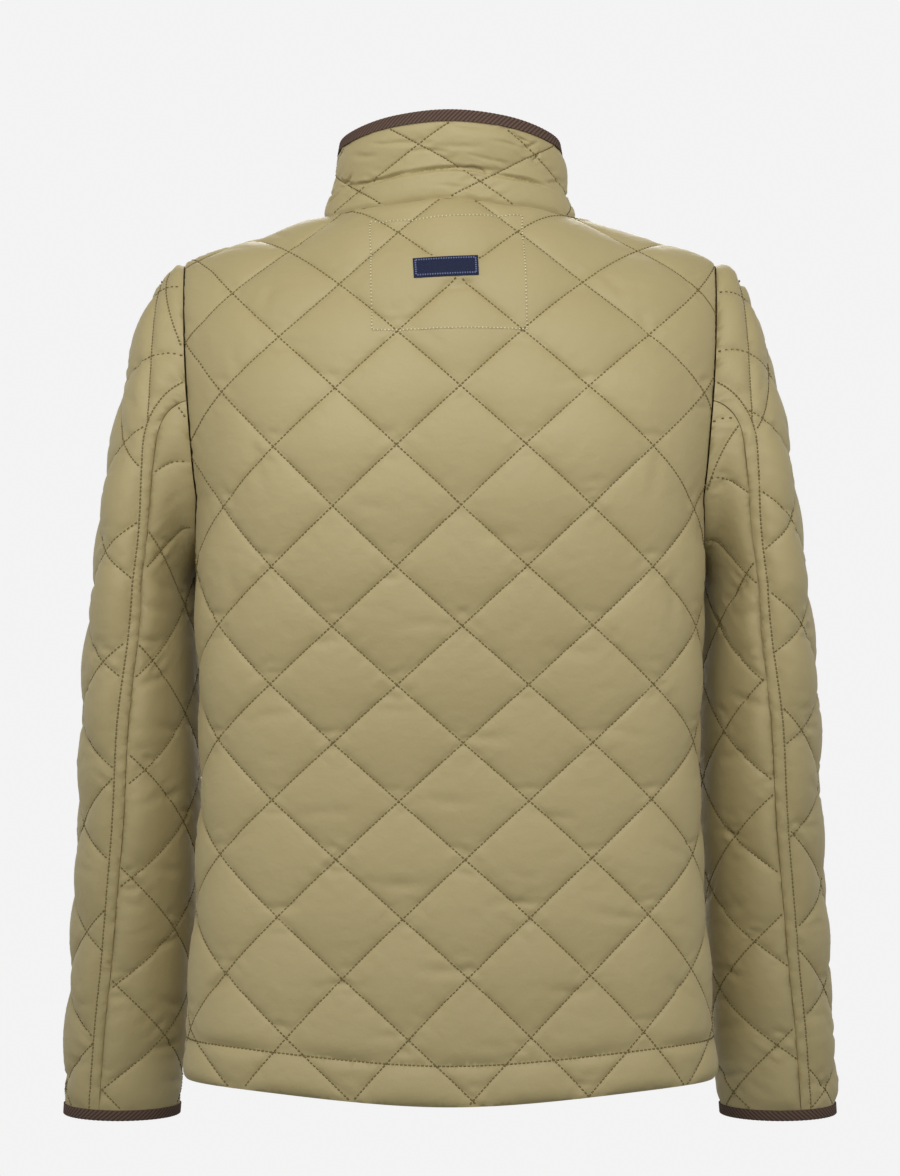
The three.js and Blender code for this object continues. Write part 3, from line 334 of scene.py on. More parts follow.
def uneven(first, second, seed):
    """A steady number from 0 to 1 for each pair of whole numbers."""
    mixed = np.sin(first * 127.1 + second * 311.7 + seed * 74.7) * 43758.5453
    return mixed - np.floor(mixed)


def fold_heights(folds, s, t):
    """Creases listed in a table: each is a soft groove with a low welt along both of its sides."""
    height = np.zeros(len(s))
    for k in range(len(folds["s"])):
        turn = math.radians(folds["turn"][k])
        along = (s - folds["s"][k]) * math.cos(turn) + (t - folds["t"][k]) * math.sin(turn)
        reach = 2 * along / folds["length"][k]
        over = (t - folds["t"][k]) * math.cos(turn) - (s - folds["s"][k]) * math.sin(turn)
        off = (over - folds["bend"][k] * (reach**2)) / folds["width"][k]
        taper = np.clip(1 - reach**2, 0, 1) ** 1.5
        height -= folds["depth"][k] * taper * np.exp(-(off**2)) * (1 - 0.7 * off**2)
    return height


FOLD_FIELD = np.arange(-9, 9)  # diamonds from the middle, both ways, that get small creases


def clear_of_seams(rows, seams, margin):
    """The creases that lie on the cloth, as a table like those listed."""
    rows = np.concatenate([np.stack(row) for row in rows], axis=1)
    inside = np.min([seam(rows[0], rows[1]) for seam in seams.values()], axis=0) > margin
    return dict(zip(CREASE_COLUMNS.split(), rows[:, inside & (rows[5] != 0)]))


def small_folds(lattice, seams, seed, depth):
    """Faint short creases and welts, three to a diamond, so that none is perfectly smooth."""
    numbers = np.random.default_rng(seed)
    rising, falling = np.meshgrid(FOLD_FIELD, FOLD_FIELD)
    count = rising.size
    rows = []
    for _ in range(3):
        centre = np.stack([rising.ravel(), falling.ravel()]) + 0.5
        centre = centre + numbers.uniform(-0.3, 0.3, centre.shape)
        turn = numbers.normal(0, 38, count)
        length = numbers.uniform(16, 42, count)
        width = numbers.uniform(1.8, 4.2, count)
        deep = depth * numbers.uniform(-0.6, 1.0, count)
        bend = numbers.uniform(-3, 3, count)
        rows.append((*lattice[1](*centre), turn, length, width, deep, bend))
    return clear_of_seams(rows, seams, 4)


# How far above a crossing of two stitched lines a dent lies, in diamonds, and the share of
# the crossings that have one there.
CROSSING_DENTS = ((0.105, 0.75), (-0.115, 0.45), (0.2, 0.35))


def crossing_folds(lattice, seams, seed, depth):
    """Short arched dents beside the crossings, where the wadding is caught from four sides."""
    numbers = np.random.default_rng(seed)
    rising, falling = np.meshgrid(FOLD_FIELD, FOLD_FIELD)
    count = rising.size
    rows = []
    for up, kept in CROSSING_DENTS:
        above = up + numbers.normal(0, 0.012, count)
        aside = numbers.normal(0, 0.02, count)
        place = lattice[1](rising.ravel() + above + aside, falling.ravel() - above + aside)
        there = numbers.uniform(size=count) < kept
        turn = numbers.normal(0, 9, count)
        length = numbers.uniform(15, 30, count)
        width = numbers.uniform(1.9, 3.0, count)
        deep = depth * there * numbers.uniform(0.5, 1.0, count)
        bend = math.copysign(1, up) * numbers.uniform(-4, 0.5, count)
        rows.append((*place, turn, length, width, deep, bend))
    return clear_of_seams(rows, seams, 2)


def quilt_height(lattice, seams, press, folds, seed, pucker, lines=(), covered=()):
    """The height of the cloth's outer face over its inside, anywhere on a panel.

    Lines are stitched down. What lies below zero in covered is flat, under another piece."""

    def height(s, t):
        rising, falling = lattice[0](s, t)
        fullness = 1 - FULLNESS_SPREAD * uneven(np.floor(rising), np.floor(falling), seed)
        off_rising, off_falling = np.abs(np.sin(math.pi * rising)), np.abs(np.sin(math.pi * falling))
        puff = PUFF * fullness * (off_rising * off_falling) ** PUFF_ROUNDNESS * press(s, t)
        from_seam = np.min([seam(s, t) for seam in seams.values()], axis=0)
        rolled_in = EDGE_ROLL * np.exp(-((np.maximum(from_seam, 0) / ROLL_WIDTH) ** 2))
        edges = [from_seam, *(edge(s, t) for edge in covered)]
        edges += [np.abs(line(s, t)) for line in lines]
        nearest = np.maximum(np.min(edges, axis=0), 0)
        puff = puff * (1 - np.exp(-((nearest / SEAM_SOFTNESS) ** 1.3)))
        ripple = np.zeros(len(s))
        for near, along, line in (
            (off_rising, falling, np.round(rising)),
            (off_falling, rising, np.round(falling)),
        ):
            strength = uneven(line, np.floor(along * 3), seed + 1)
            wave = np.sin(2 * math.pi * (LONG_PUCKERS * along + uneven(line, line, seed + 2)))
            wave = wave + 0.7 * np.sin(2 * math.pi * (SHORT_PUCKERS * along + 0.3))
            ripple += strength * wave * near * np.exp(-near / PUCKER_REACH)
        creases = FOLD_STRENGTH * sum(fold_heights(fold, s, t) for fold in folds)
        soft = smooth_step(nearest, 0, 5)
        return WALL + puff - rolled_in + pucker * ripple + creases * np.maximum(soft, 0.15)

    return height


# The flat panel is a grid whose edges run along the stitched lines, so that each line is a
# clean valley.
CELLS = 20  # grid cells across one diamond
CROWDING = 0.35  # how much closer the cells lie beside a stitched line
HALVINGS = 24
NEAR = 0.25  # a grid point this close to a cut, in cells, moves onto it
NEAR_LINE = 0.1
SPARE = 9  # millimetres of the grid that are left past a seam, to be cut off


def flat_grid(lattice, seams, reach, cells):
    """A grid over the whole panel, with what lies well outside its seams taken away."""
    low, high = -reach, reach
    count = (high - low) * cells
    flat = bmesh.new()
    bmesh.ops.create_grid(flat, x_segments=count, y_segments=count, size=1)
    spots = np.array([v.co[:2] for v in flat.verts])
    counts = low + (spots + 1) / 2 * (high - low)
    part = counts - np.floor(counts)
    counts = counts - CROWDING * np.sin(2 * math.pi * part) / (2 * math.pi)
    s, t = lattice[1](counts[:, 0], counts[:, 1])
    for vert, x, y in zip(flat.verts, s, t):
        vert.co = (x, y, 0)
    far = np.zeros(len(s), bool)
    for seam in seams.values():
        rest = np.flatnonzero(~far)
        far[rest] = seam(s[rest], t[rest]) < -SPARE
    lost = [vert for vert, away in zip(flat.verts, far) if away]
    bmesh.ops.delete(flat, geom=lost, context="VERTS")
    return flat


def trim(flat, seam, bit, keep_both=False):
    """Cuts the flat cloth along one seam and keeps the side where the seam counts up, or
    both, joined, where the line is only stitched."""
    marks = flat.verts.layers.int.get("seams") or flat.verts.layers.int.new("seams")
    flat.verts.index_update()
    verts = list(flat.verts)
    spots = np.array([v.co[:2] for v in verts])
    value = seam(*spots.T)
    ends = np.array([[v.index for v in edge.verts] for edge in flat.edges])
    crossing = np.flatnonzero(value[ends[:, 0]] * value[ends[:, 1]] < 0)
    ends = ends[crossing]
    edges = list(flat.edges)
    start, run = spots[ends[:, 0]], spots[ends[:, 1]] - spots[ends[:, 0]]
    low, high = np.zeros(len(ends)), np.ones(len(ends))
    for _ in range(HALVINGS):
        middle = (low + high) / 2
        same = (seam(*(start + run * middle[:, None]).T) > 0) == (value[ends[:, 0]] > 0)
        low, high = np.where(same, middle, low), np.where(same, high, middle)
    share = (low + high) / 2
    moves = {}
    reach = NEAR_LINE if keep_both else NEAR
    for (a, b), part, spot in zip(ends, share, start + run * share[:, None]):
        for here, other, near in ((a, b, part), (b, a, 1 - part)):
            mine, theirs = verts[here][marks], verts[other][marks]
            if near < reach and mine & theirs == mine and near < moves.get(here, (1,))[0]:
                moves[here] = (near, spot)
    for here, (near, spot) in moves.items():
        verts[here].co = (*spot, 0)
        value[here] = 0
    on_seam = [verts[i] for i in np.flatnonzero(value == 0)]
    beyond = {verts[i] for i in np.flatnonzero(value < 0)}
    for k, (a, b) in enumerate(ends):
        if value[a] * value[b] < 0:
            both = verts[a][marks] & verts[b][marks]
            _, new = bmesh.utils.edge_split(edges[crossing[k]], verts[a], share[k])
            new[marks] = both
            on_seam.append(new)
    for vert in on_seam:
        vert[marks] |= bit
    bmesh.ops.connect_verts(flat, verts=on_seam)
    if keep_both:
        return
    lost = [face for face in flat.faces if any(v in beyond for v in face.verts)]
    bmesh.ops.delete(flat, geom=lost, context="FACES")


def placed(name, data):
    """A new object at the origin."""
    piece = bpy.data.objects.new(name, data)
    bpy.context.scene.collection.objects.link(piece)
    return piece


def mesh_of(name, shape, sharp_from=None):
    """A finished bmesh as a mesh, smooth but for edges from an angle on, or else faceted."""
    mesh = bpy.data.meshes.new(name)
    shape.to_mesh(mesh)
    shape.free()
    if sharp_from:
        for polygon in mesh.polygons:
            polygon.use_smooth = True
        mesh.set_sharp_from_angle(angle=math.radians(sharp_from))
    return mesh


def map_pattern(mesh, spots):
    """Lets the materials know where each point of the mesh lies on the flat cloth."""
    corners = np.empty(len(mesh.loops), int)
    mesh.loops.foreach_get("vertex_index", corners)
    uv = mesh.uv_layers.new(name="pattern")
    uv.data.foreach_set("uv", spots[corners].ravel())


def put_on(name, flat, face, height, mirrored=False):
    """Gives the flat cloth its place: a plain inside, the quilted outside and closed edges."""
    order = flat.verts.layers.int.new("order")
    flat.verts.index_update()
    for vert in flat.verts:
        vert[order] = vert.index
    spots = np.array([v.co[:2] for v in flat.verts])
    inside, normal = face(*spots.T)
    outside = inside + normal * height(*spots.T)[:, None]
    made = bmesh.ops.extrude_face_region(flat, geom=list(flat.faces))["geom"]
    upper = {g for g in made if isinstance(g, bmesh.types.BMVert)}
    flip = -1 if mirrored else 1
    for vert in flat.verts:
        x, y, z = (outside if vert in upper else inside)[vert[order]] * MM
        vert.co = (flip * x, y, z)
    bmesh.ops.recalc_face_normals(flat, faces=list(flat.faces))
    if flat.calc_volume(signed=True) < 0:
        bmesh.ops.reverse_faces(flat, faces=list(flat.faces))
    flat.verts.index_update()
    numbers = np.array([vert[order] for vert in flat.verts])
    mesh = mesh_of(name, flat, sharp_from=55)
    map_pattern(mesh, spots[numbers] * MM)
    return placed(name, mesh)


def linear(colour):
    """An sRGB hex colour as the linear numbers that a shader takes."""
    parts = [int(colour[k : k + 2], 16) / 255 for k in (1, 3, 5)]
    return [c / 12.92 if c <= 0.04045 else ((c + 0.055) / 1.055) ** 2.4 for c in parts] + [1]


def node(tree, kind, inputs=None, **settings):
    """Adds a shader node, sets its options, and fills or links its inputs."""
    made = tree.nodes.new(kind)
    for name, value in settings.items():
        setattr(made, name, value)
    for key, value in (inputs or {}).items():
        if isinstance(value, bpy.types.NodeSocket):
            tree.links.new(value, made.inputs[key])
        else:
            made.inputs[key].default_value = value
    return made


def new_material(name):
    material = bpy.data.materials.new(name)
    material.use_nodes = True
    tree = material.node_tree
    tree.nodes.clear()
    return material, tree


# Brushed polyester: a close plain weave with a peach finish. It is matt with a faint sheen where
# the wadding turns away from the eye, and the weave is drawn at twice its size so that it shows.
CLOTH_LIGHT = "#A99B70"
CLOTH_DARK = "#9A8C60"
THREAD_SPACING = 0.7


def brushed_polyester():
    material, tree = new_material("brushed_polyester")
    pattern = node(tree, "ShaderNodeUVMap", uv_map="pattern").outputs["UV"]
    place = node(tree, "ShaderNodeTexCoord").outputs["Object"]
    drift = node(tree, "ShaderNodeTexNoise", {"Vector": place, "Scale": 9, "Detail": 3})
    speck = node(tree, "ShaderNodeTexNoise", {"Vector": pattern, "Scale": 900, "Detail": 2})
    fine_share = node(
        tree, "ShaderNodeMath", {0: speck.outputs["Fac"], 1: 0.3}, operation="MULTIPLY"
    )
    share = node(
        tree,
        "ShaderNodeMath",
        {0: drift.outputs["Fac"], 1: 0.7, 2: fine_share.outputs["Value"]},
        operation="MULTIPLY_ADD",
    )
    colour = node(
        tree,
        "ShaderNodeMix",
        {"Factor": share.outputs["Value"], "A": linear(CLOTH_DARK), "B": linear(CLOTH_LIGHT)},
        data_type="RGBA",
    )
    crinkle = node(tree, "ShaderNodeTexNoise", {"Vector": pattern, "Scale": 95, "Detail": 3})
    weave = node(
        tree,
        "ShaderNodeTexWave",
        {"Vector": pattern, "Scale": 2 * math.pi / (THREAD_SPACING * MM) / 20, "Distortion": 0.6},
        wave_type="BANDS",
        bands_direction="DIAGONAL",
    )
    soft = node(
        tree,
        "ShaderNodeBump",
        {"Height": crinkle.outputs["Fac"], "Strength": 0.6, "Distance": 1.2 * MM},
    )
    fine = node(
        tree,
        "ShaderNodeBump",
        {
            "Height": weave.outputs["Fac"],
            "Strength": 0.12,
            "Distance": 0.15 * MM,
            "Normal": soft.outputs["Normal"],
        },
    )
    shader = node(
        tree,
        "ShaderNodeBsdfPrincipled",
        {
            "Base Color": colour.outputs["Result"],
            "Roughness": 0.62,
            "Sheen Weight": 0.18,
            "Sheen Roughness": 0.45,
            "Sheen Tint": linear("#E9DFC0"),
            "Normal": fine.outputs["Normal"],
        },
    )
    node(tree, "ShaderNodeOutputMaterial", {"Surface": shader.outputs["BSDF"]})
    return material


cloth = brushed_polyester()


# Sewing thread: twisted polyester, a little darker than the cloth. Each stitch dips into its
# needle hole at both ends, and the material paints the shade of that hole on the stitch's ends.
def sewing_thread(name, middle, end):
    material, tree = new_material(name)
    along = node(tree, "ShaderNodeUVMap", uv_map="pattern").outputs["UV"]
    across = node(tree, "ShaderNodeSeparateXYZ", {"Vector": along}).outputs["X"]
    centred = node(tree, "ShaderNodeMath", {0: across, 1: 0.5}, operation="SUBTRACT")
    away = node(tree, "ShaderNodeMath", {0: centred.outputs["Value"]}, operation="ABSOLUTE")
    # Painted shade of the needle holes: none in the middle of a stitch, full at its two ends.
    needle_hole_shade = node(
        tree,
        "ShaderNodeMapRange",
        {"Value": away.outputs["Value"], "From Min": 0.2, "From Max": 0.46},
    )
    colour = node(
        tree,
        "ShaderNodeMix",
        {"Factor": needle_hole_shade.outputs["Result"], "A": linear(middle), "B": linear(end)},
        data_type="RGBA",
    )
    shader = node(
        tree,
        "ShaderNodeBsdfPrincipled",
        {"Base Color": colour.outputs["Result"], "Roughness": 0.7, "Specular IOR Level": 0.2},
    )
    node(tree, "ShaderNodeOutputMaterial", {"Surface": shader.outputs["BSDF"]})
    return material


# The second colour of each thread is the painted shade at its needle holes.
olive_thread = sewing_thread("olive_thread", "#7B6D43", "#463C20")
pale_thread = sewing_thread("pale_thread", "#D2C8A2", "#5E532F")

STITCH_PITCH = 3.3
STITCH_LENGTH = 2.3
STITCH_THICKNESS = 1.4
STITCH_RISE = 0.12


def stitch_spots(s, t, pitch=STITCH_PITCH):
    """Places and directions of the stitches along one line on the flat cloth."""
    length = np.concatenate([[0], np.cumsum(np.hypot(np.diff(s), np.diff(t)))])
    at = np.arange(pitch / 2, length[-1], pitch)
    here = np.stack([np.interp(at, length, s), np.interp(at, length, t)])
    ahead = np.stack([np.interp(at + 1, length, s), np.interp(at + 1, length, t)])
    behind = np.stack([np.interp(at - 1, length, s), np.interp(at - 1, length, t)])
    way = ahead - behind
    return np.concatenate([here, way / np.maximum(np.hypot(*way), 1e-9)])


def lattice_stitches(lattice, reach):
    """The stitches of both directions of the quilting."""
    steps = np.arange(-reach, reach, 0.02)
    rows = []
    for line in range(-reach, reach + 1):
        fixed = np.full(len(steps), float(line))
        rows.append(stitch_spots(*lattice[1](fixed, steps)))
        rows.append(stitch_spots(*lattice[1](steps, fixed)))
    return np.concatenate(rows, axis=1)


def keep_inside(spots, seams, margin=1.3):
    for seam in seams:
        spots = spots[:, seam(spots[0], spots[1]) > margin]
    return spots


def stitch_shape():
    """One stitch: a short bar with blunt ends, along X, one unit long."""
    bar = bmesh.new()
    bmesh.ops.create_uvsphere(bar, u_segments=5, v_segments=3, radius=0.5)
    bar.verts.index_update()
    corners = np.array([v.co for v in bar.verts])[:, [2, 0, 1]]
    corners[:, 0] = np.sign(corners[:, 0]) * np.where(np.abs(corners[:, 0]) > 0.4, 0.5, 0.34)
    ring = np.abs(corners[:, 0]) < 0.4
    size = np.linalg.norm(corners[ring, 1:], axis=1)[0]
    corners[ring, 1:] *= 0.5 / size
    faces = [[v.index for v in face.verts] for face in bar.faces]
    bar.free()
    return corners, faces


STITCH_CORNERS, STITCH_FACES = stitch_shape()


def sew(name, spots, face, height, thread, mirrored=False, length=STITCH_LENGTH):
    """Lays stitches on the cloth and joins them into one piece."""
    s, t, ds, dt = spots
    place, normal = face(s, t)
    ahead, _ = face(s + ds, t + dt)
    behind, _ = face(s - ds, t - dt)
    climb = height(s + ds, t + dt) - height(s - ds, t - dt)
    along = ahead - behind + normal * climb[:, None]
    along /= np.linalg.norm(along, axis=1)[:, None]
    over = np.cross(normal, along)
    over /= np.linalg.norm(over, axis=1)[:, None]
    out = np.cross(along, over)
    centre = place + normal * (height(s, t) + STITCH_RISE)[:, None]
    thick = STITCH_THICKNESS
    corners = (
        centre[:, None]
        + length * STITCH_CORNERS[None, :, 0, None] * along[:, None]
        + thick * STITCH_CORNERS[None, :, 1, None] * over[:, None]
        + thick * STITCH_CORNERS[None, :, 2, None] * out[:, None]
    )
    corners = corners.reshape(-1, 3) * MM
    count = len(STITCH_CORNERS)
    faces = [[k * count + i for i in one] for k in range(len(s)) for one in STITCH_FACES]
    if mirrored:
        corners[:, 0] *= -1
        faces = [one[::-1] for one in faces]
    mesh = bpy.data.meshes.new(name)
    mesh.from_pydata(corners, [], faces)
    for polygon in mesh.polygons:
        polygon.use_smooth = True
    across = np.tile(STITCH_CORNERS[:, 0] + 0.5, len(s))
    map_pattern(mesh, np.stack([across, 0 * across], axis=1))
    mesh.materials.append(thread)
    piece = placed(name, mesh)
    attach(piece, "jacket")
    return piece


def hem_stitching(panel):
    return lambda s, t: t - hem_height(panel, s) - HEM_TURN_UP


LABEL_X = 3.2
LABEL_Z = -53.0
LABEL_WIDTH = 50.0
LABEL_HEIGHT = 17.0
LABEL_TILT = math.radians(-3)
LABEL_LIFT = WALL + 0.75 * PUFF


def height_at_level(panel, x, z):
    """The length up the cloth where a panel passes a level z, near the centre line."""
    t = np.linspace(CHEST, 60, 800)
    levels = torso(panel, np.full(len(t), float(x)), t)[:, 2]
    return float(np.interp(z, levels, t))


LABEL_T = height_at_level("back", LABEL_X, LABEL_Z)


def label_axes(s, t):
    """Distances along and over the label, from its middle."""
    along = (s - LABEL_X) * math.cos(LABEL_TILT) + (t - LABEL_T) * math.sin(LABEL_TILT)
    over = (t - LABEL_T) * math.cos(LABEL_TILT) - (s - LABEL_X) * math.sin(LABEL_TILT)
    return along, over


def outside_label(s, t):
    along, over = label_axes(s, t)
    return np.maximum(np.abs(along) - LABEL_WIDTH / 2, np.abs(over) - LABEL_HEIGHT / 2)


# Creases of the back, where the photograph shows them: across the upper back beside the
# armholes, and short level ones low down in the diamonds.
BACK_FOLDS = table(
    CREASE_COLUMNS,
    (-150, -95, 72, 46, 5, 0.9, 3),
    (-128, -60, 60, 38, 4, 0.7, -2),
    (140, -70, 105, 52, 5, 0.9, -3),
    (165, -120, 82, 40, 4, 0.8, 2),
    (118, -110, 20, 34, 4, 0.6, 2),
    (-96, -140, -15, 40, 4, 0.6, -2),
    (150, -205, 78, 60, 6, 0.8, 4),
    (-160, -215, 98, 56, 6, 0.9, -4),
    (60, -240, 8, 44, 5, 0.6, 3),
    (-40, -262, -5, 52, 5, 0.7, 3),
    (172, -300, 86, 58, 5, 0.9, 3),
    (-176, -312, 94, 62, 5, 0.9, -3),
    (20, -330, 3, 60, 5, 0.7, -3),
    (95, -345, -6, 46, 4, 0.8, 3),
    (-92, -352, 10, 50, 5, 0.7, 2),
    (140, -402, -12, 44, 4, 0.8, -3),
    (48, -398, 4, 40, 4, 0.7, 2),
    (-30, -420, -3, 54, 5, 0.8, 3),
    (-135, -415, 14, 48, 4, 0.8, -2),
    (0, -470, 2, 58, 5, 0.9, 3),
    (96, -478, -4, 52, 4, 0.9, -3),
    (-84, -482, 5, 46, 4, 0.9, 3),
    (165, -500, -22, 40, 4, 0.8, 2),
    (-172, -508, 24, 44, 4, 0.9, 2),
    (40, -535, 1, 60, 5, 1.0, 3),
    (-48, -548, -2, 52, 4, 1.0, -3),
    (128, -552, -8, 46, 4, 1.0, 3),
    (-132, -560, 9, 50, 4, 1.0, 3),
    (4, -602, 2, 56, 5, 1.1, 3),
    (88, -612, -3, 48, 4, 1.0, -2),
    (-92, -618, 4, 54, 4, 1.1, 3),
    (180, -612, -34, 44, 5, 1.1, 3),
    (-184, -620, 38, 46, 5, 1.1, -3),
    (50, -652, 0, 40, 4, 0.8, 2),
    (-30, -660, 3, 44, 4, 0.8, 2),
)

back_seams = body_seams("back")
back_lattice = body_lattice(BACK_QUILT_CENTRE, QUILT_DRIFT)
quilted_back = quilt_height(
    back_lattice,
    back_seams,
    lambda s, t: body_press("back", s, t),
    [
        BACK_FOLDS,
        small_folds(back_lattice, back_seams, 11, 0.6),
        crossing_folds(back_lattice, back_seams, 12, 0.85),
    ],
    seed=3,
    pucker=8,
    lines=[hem_stitching("back")],
)


def back_height(s, t):
    """The quilting, flattened under the label that is sewn over it."""
    under = 1 - smooth_step(outside_label(s, t), -1, 7)
    return quilted_back(s, t) * (1 - under) + (LABEL_LIFT - 0.2) * under


BODY_REACH = 8  # diamonds from the middle of the quilting to past the panel's corners


def cut_panel(lattice, seams, reach, lines=(), cells=CELLS):
    flat = flat_grid(lattice, seams, reach, cells)
    for k, seam in enumerate(seams.values()):
        trim(flat, seam, 1 << k)
    for k, line in enumerate(lines):
        trim(flat, line, 1 << (len(seams) + k), keep_both=True)
    return flat


flat = cut_panel(back_lattice, back_seams, BODY_REACH, [hem_stitching("back")])
back = put_on("quilted_back", flat, back_face, back_height)
back.data.materials.append(cloth)
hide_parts("back")
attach(back, "jacket")


def sewn_quilting(name, lattice, seams, face, height, reach, skip=(), mirrored=False):
    spots = keep_inside(lattice_stitches(lattice, reach), [*seams.values(), *skip])
    return sew(name, spots, face, height, olive_thread, mirrored)


sewn_quilting(
    "back_quilting_stitches",
    back_lattice,
    back_seams,
    back_face,
    back_height,
    BODY_REACH,
    skip=[outside_label],
)


def along_hem(panel, low, high):
    s = np.arange(low, high, 2.0)
    return stitch_spots(s, hem_height(panel, s) + HEM_TURN_UP)


hem_spots = keep_inside(along_hem("back", -260, 260), back_seams.values())
sew("back_hem_stitches", hem_spots, back_face, back_height, olive_thread)

# A stitched rectangle holds a stay behind the label. Its thread is paler than the cloth.
PATCH_CORNERS = ((61.8, -15.5), (60.5, -102.5), (-60.0, -101), (-56.0, -9.7), (61.8, -15.5))
patch_spots = []
for (x0, z0), (x1, z1) in zip(PATCH_CORNERS, PATCH_CORNERS[1:]):
    x, z = np.linspace(x0, x1, 24), np.linspace(z0, z1, 24)
    t = np.array([height_at_level("back", abs(a), b) for a, b in zip(x, z)])
    patch_spots.append(stitch_spots(x, t, pitch=2.9))
patch_spots = keep_inside(np.concatenate(patch_spots, axis=1), back_seams.values(), margin=0.5)
sew("patch_stitches", patch_spots, back_face, back_height, pale_thread, length=2.0)


# The two fronts, cut like the back and open down the middle for the zip. Nobody sees them in
# the photograph, so they are quilted plainly, with a row of stitching beside the zip.
FRONT_EDGE = 7.0
FRONT_STITCHING = 6.0
FRONT_FOLDS = {
    "left": table(
        CREASE_COLUMNS,
        (150, -90, 80, 48, 5, 0.9, 3),
        (90, -150, 15, 40, 4, 0.6, -2),
        (165, -250, 95, 60, 5, 0.9, 3),
        (60, -300, -6, 46, 5, 0.7, 3),
        (130, -380, 8, 44, 4, 0.8, -2),
        (50, -450, 4, 52, 5, 0.9, 3),
        (150, -490, -14, 46, 4, 0.9, 2),
        (80, -545, 3, 50, 5, 1.0, 3),
        (180, -600, -30, 42, 4, 1.0, -3),
        (60, -640, -2, 46, 4, 0.9, 2),
    ),
    "right": table(
        CREASE_COLUMNS,
        (140, -110, 66, 42, 5, 0.9, -3),
        (70, -190, -8, 46, 4, 0.7, 2),
        (172, -290, 84, 54, 5, 0.9, -3),
        (100, -335, 6, 50, 5, 0.8, 3),
        (45, -400, -4, 40, 4, 0.8, 3),
        (140, -440, 12, 48, 4, 0.9, -2),
        (70, -500, 2, 54, 5, 1.0, 3),
        (160, -570, -20, 44, 4, 1.0, 3),
        (50, -590, 5, 42, 4, 0.9, -2),
        (120, -640, -3, 50, 4, 1.0, 2),
    ),
}
SIDES = (("left", False), ("right", True))
front_lattice = body_lattice(0.0)
front_seams = body_seams("front") | {"opening": lambda s, t: s - FRONT_EDGE}


def beside_zip(s, t):
    return s - FRONT_EDGE - FRONT_STITCHING


front_lines = [hem_stitching("front"), beside_zip]
for side, mirrored in SIDES:
    seed = 23 + mirrored
    front_height = quilt_height(
        front_lattice,
        front_seams,
        lambda s, t: body_press("front", s, t),
        [
            FRONT_FOLDS[side],
            small_folds(front_lattice, front_seams, seed, 0.6),
            crossing_folds(front_lattice, front_seams, seed + 1, 0.85),
        ],
        seed=seed,
        pucker=8,
        lines=front_lines,
    )
    flat = cut_panel(front_lattice, front_seams, BODY_REACH, front_lines)
    front = put_on(f"quilted_front_{side}", flat, front_face, front_height, mirrored)
    front.data.materials.append(cloth)
    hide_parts(f"front_{side}")
    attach(front, "jacket")
    sewn_quilting(
        f"front_quilting_stitches_{side}",
        front_lattice,
        front_seams,
        front_face,
        front_height,
        BODY_REACH,
        skip=[beside_zip],
        mirrored=mirrored,
    )
    up = np.arange(-720.0, 40, 2)
    rows = [stitch_spots(np.full(len(up), FRONT_EDGE + FRONT_STITCHING), up)]
    rows.append(along_hem("front", FRONT_EDGE + FRONT_STITCHING, 260))
    rows = keep_inside(np.concatenate(rows, axis=1), front_seams.values())
    sew(f"front_edge_stitches_{side}", rows, front_face, front_height, olive_thread, mirrored)


# Each sleeve is an upper and an under panel. The seam behind the elbow is turned to the upper
# panel and stitched down, which leaves a raised band, and so is the seam round the armhole.
# The quilting of each panel: where one crossing lies, then the way to the next crossing half a
# diamond over and half a diamond up, as they lie in the photograph.
SLEEVE_QUILTING = {
    ("upper", "left"): ((41.2, -404.6), (49.6, -0.9), (-2.85, 44.1)),
    ("upper", "right"): ((35.0, -377.0), (45.1, 3.1), (0.2, 41.9)),
    ("under", "left"): ((23.7, -403.8), (46.2, -0.4), (-2.3, 43.7)),
    ("under", "right"): ((-13.9, -374.0), (47.2, -1.0), (-5.6, 42.5)),
}
SLEEVE = table(
    "z x y thin wide turn",
    (-745, 271.5, -62, 45, 46, 0),
    (-660, 264.8, -52, 45.2, 53, 4),
    (-580, 258.8, -42, 45.2, 60, 8),
    (-480, 252.5, -31, 44, 70, 10),
    (-380, 249.8, -24, 40.7, 80, 12),
    (-300, 245.2, -20, 33.8, 86, 12),
)
BICEP = -300.0
CUFF = -735.0
BACK_SEAM = table(
    "height angle", (-745, 70), (-660, 76), (-600, 84), (-516, 92), (-424, 101), (-350, 113),
    (-300, 117), (-250, 117), (-204, 108), (-165, 93), (-120, 82),
)
FRONT_SEAM_ANGLE = -110.0
CAP_RISE, CAP_REACH, CAP_LEAN, CAP_SLOPE = 0.43, 0.67, 0.09, math.radians(22)
ARMHOLE_CLEARANCE = 0.45
LOOP_STEPS = 40
RING_ANGLES = np.radians(np.linspace(-135, 270, 136))
OUTER_SIDE = 45  # where RING_ANGLES is 0
CAP_STEPS = np.linspace(0, 1, 33)


def sleeve_ring(z, angle):
    turn = np.radians(read(SLEEVE, "turn", z))
    out = read(SLEEVE, "thin", z) * np.cos(angle)
    back = read(SLEEVE, "wide", z) * np.sin(angle)
    x = read(SLEEVE, "x", z) + out * np.cos(turn) + back * np.sin(turn)
    y = read(SLEEVE, "y", z) - out * np.sin(turn) + back * np.cos(turn)
    return np.stack([x, y, z + 0 * angle], axis=-1)


def ring_lengths(z):
    """Lengths round the sleeve from its outer side, at each of RING_ANGLES."""
    length = lengths_along(sleeve_ring(z[:, None], RING_ANGLES[None, :]))
    return length - length[:, OUTER_SIDE : OUTER_SIDE + 1]


def ring_length(z, angle):
    z = np.atleast_1d(np.asarray(z, float))
    levels = np.linspace(min(z.min(), CUFF) - 1, max(z.max(), BICEP) + 1, 120)
    rows = ring_lengths(levels)
    share = (z - levels[0]) / (levels[1] - levels[0])
    low = np.clip(np.floor(share).astype(int), 0, len(levels) - 2)
    share = (share - low)[:, None]
    length = rows[low] * (1 - share) + rows[low + 1] * share
    return look_up(RING_ANGLES, length, np.broadcast_to(angle, z.shape).astype(float))


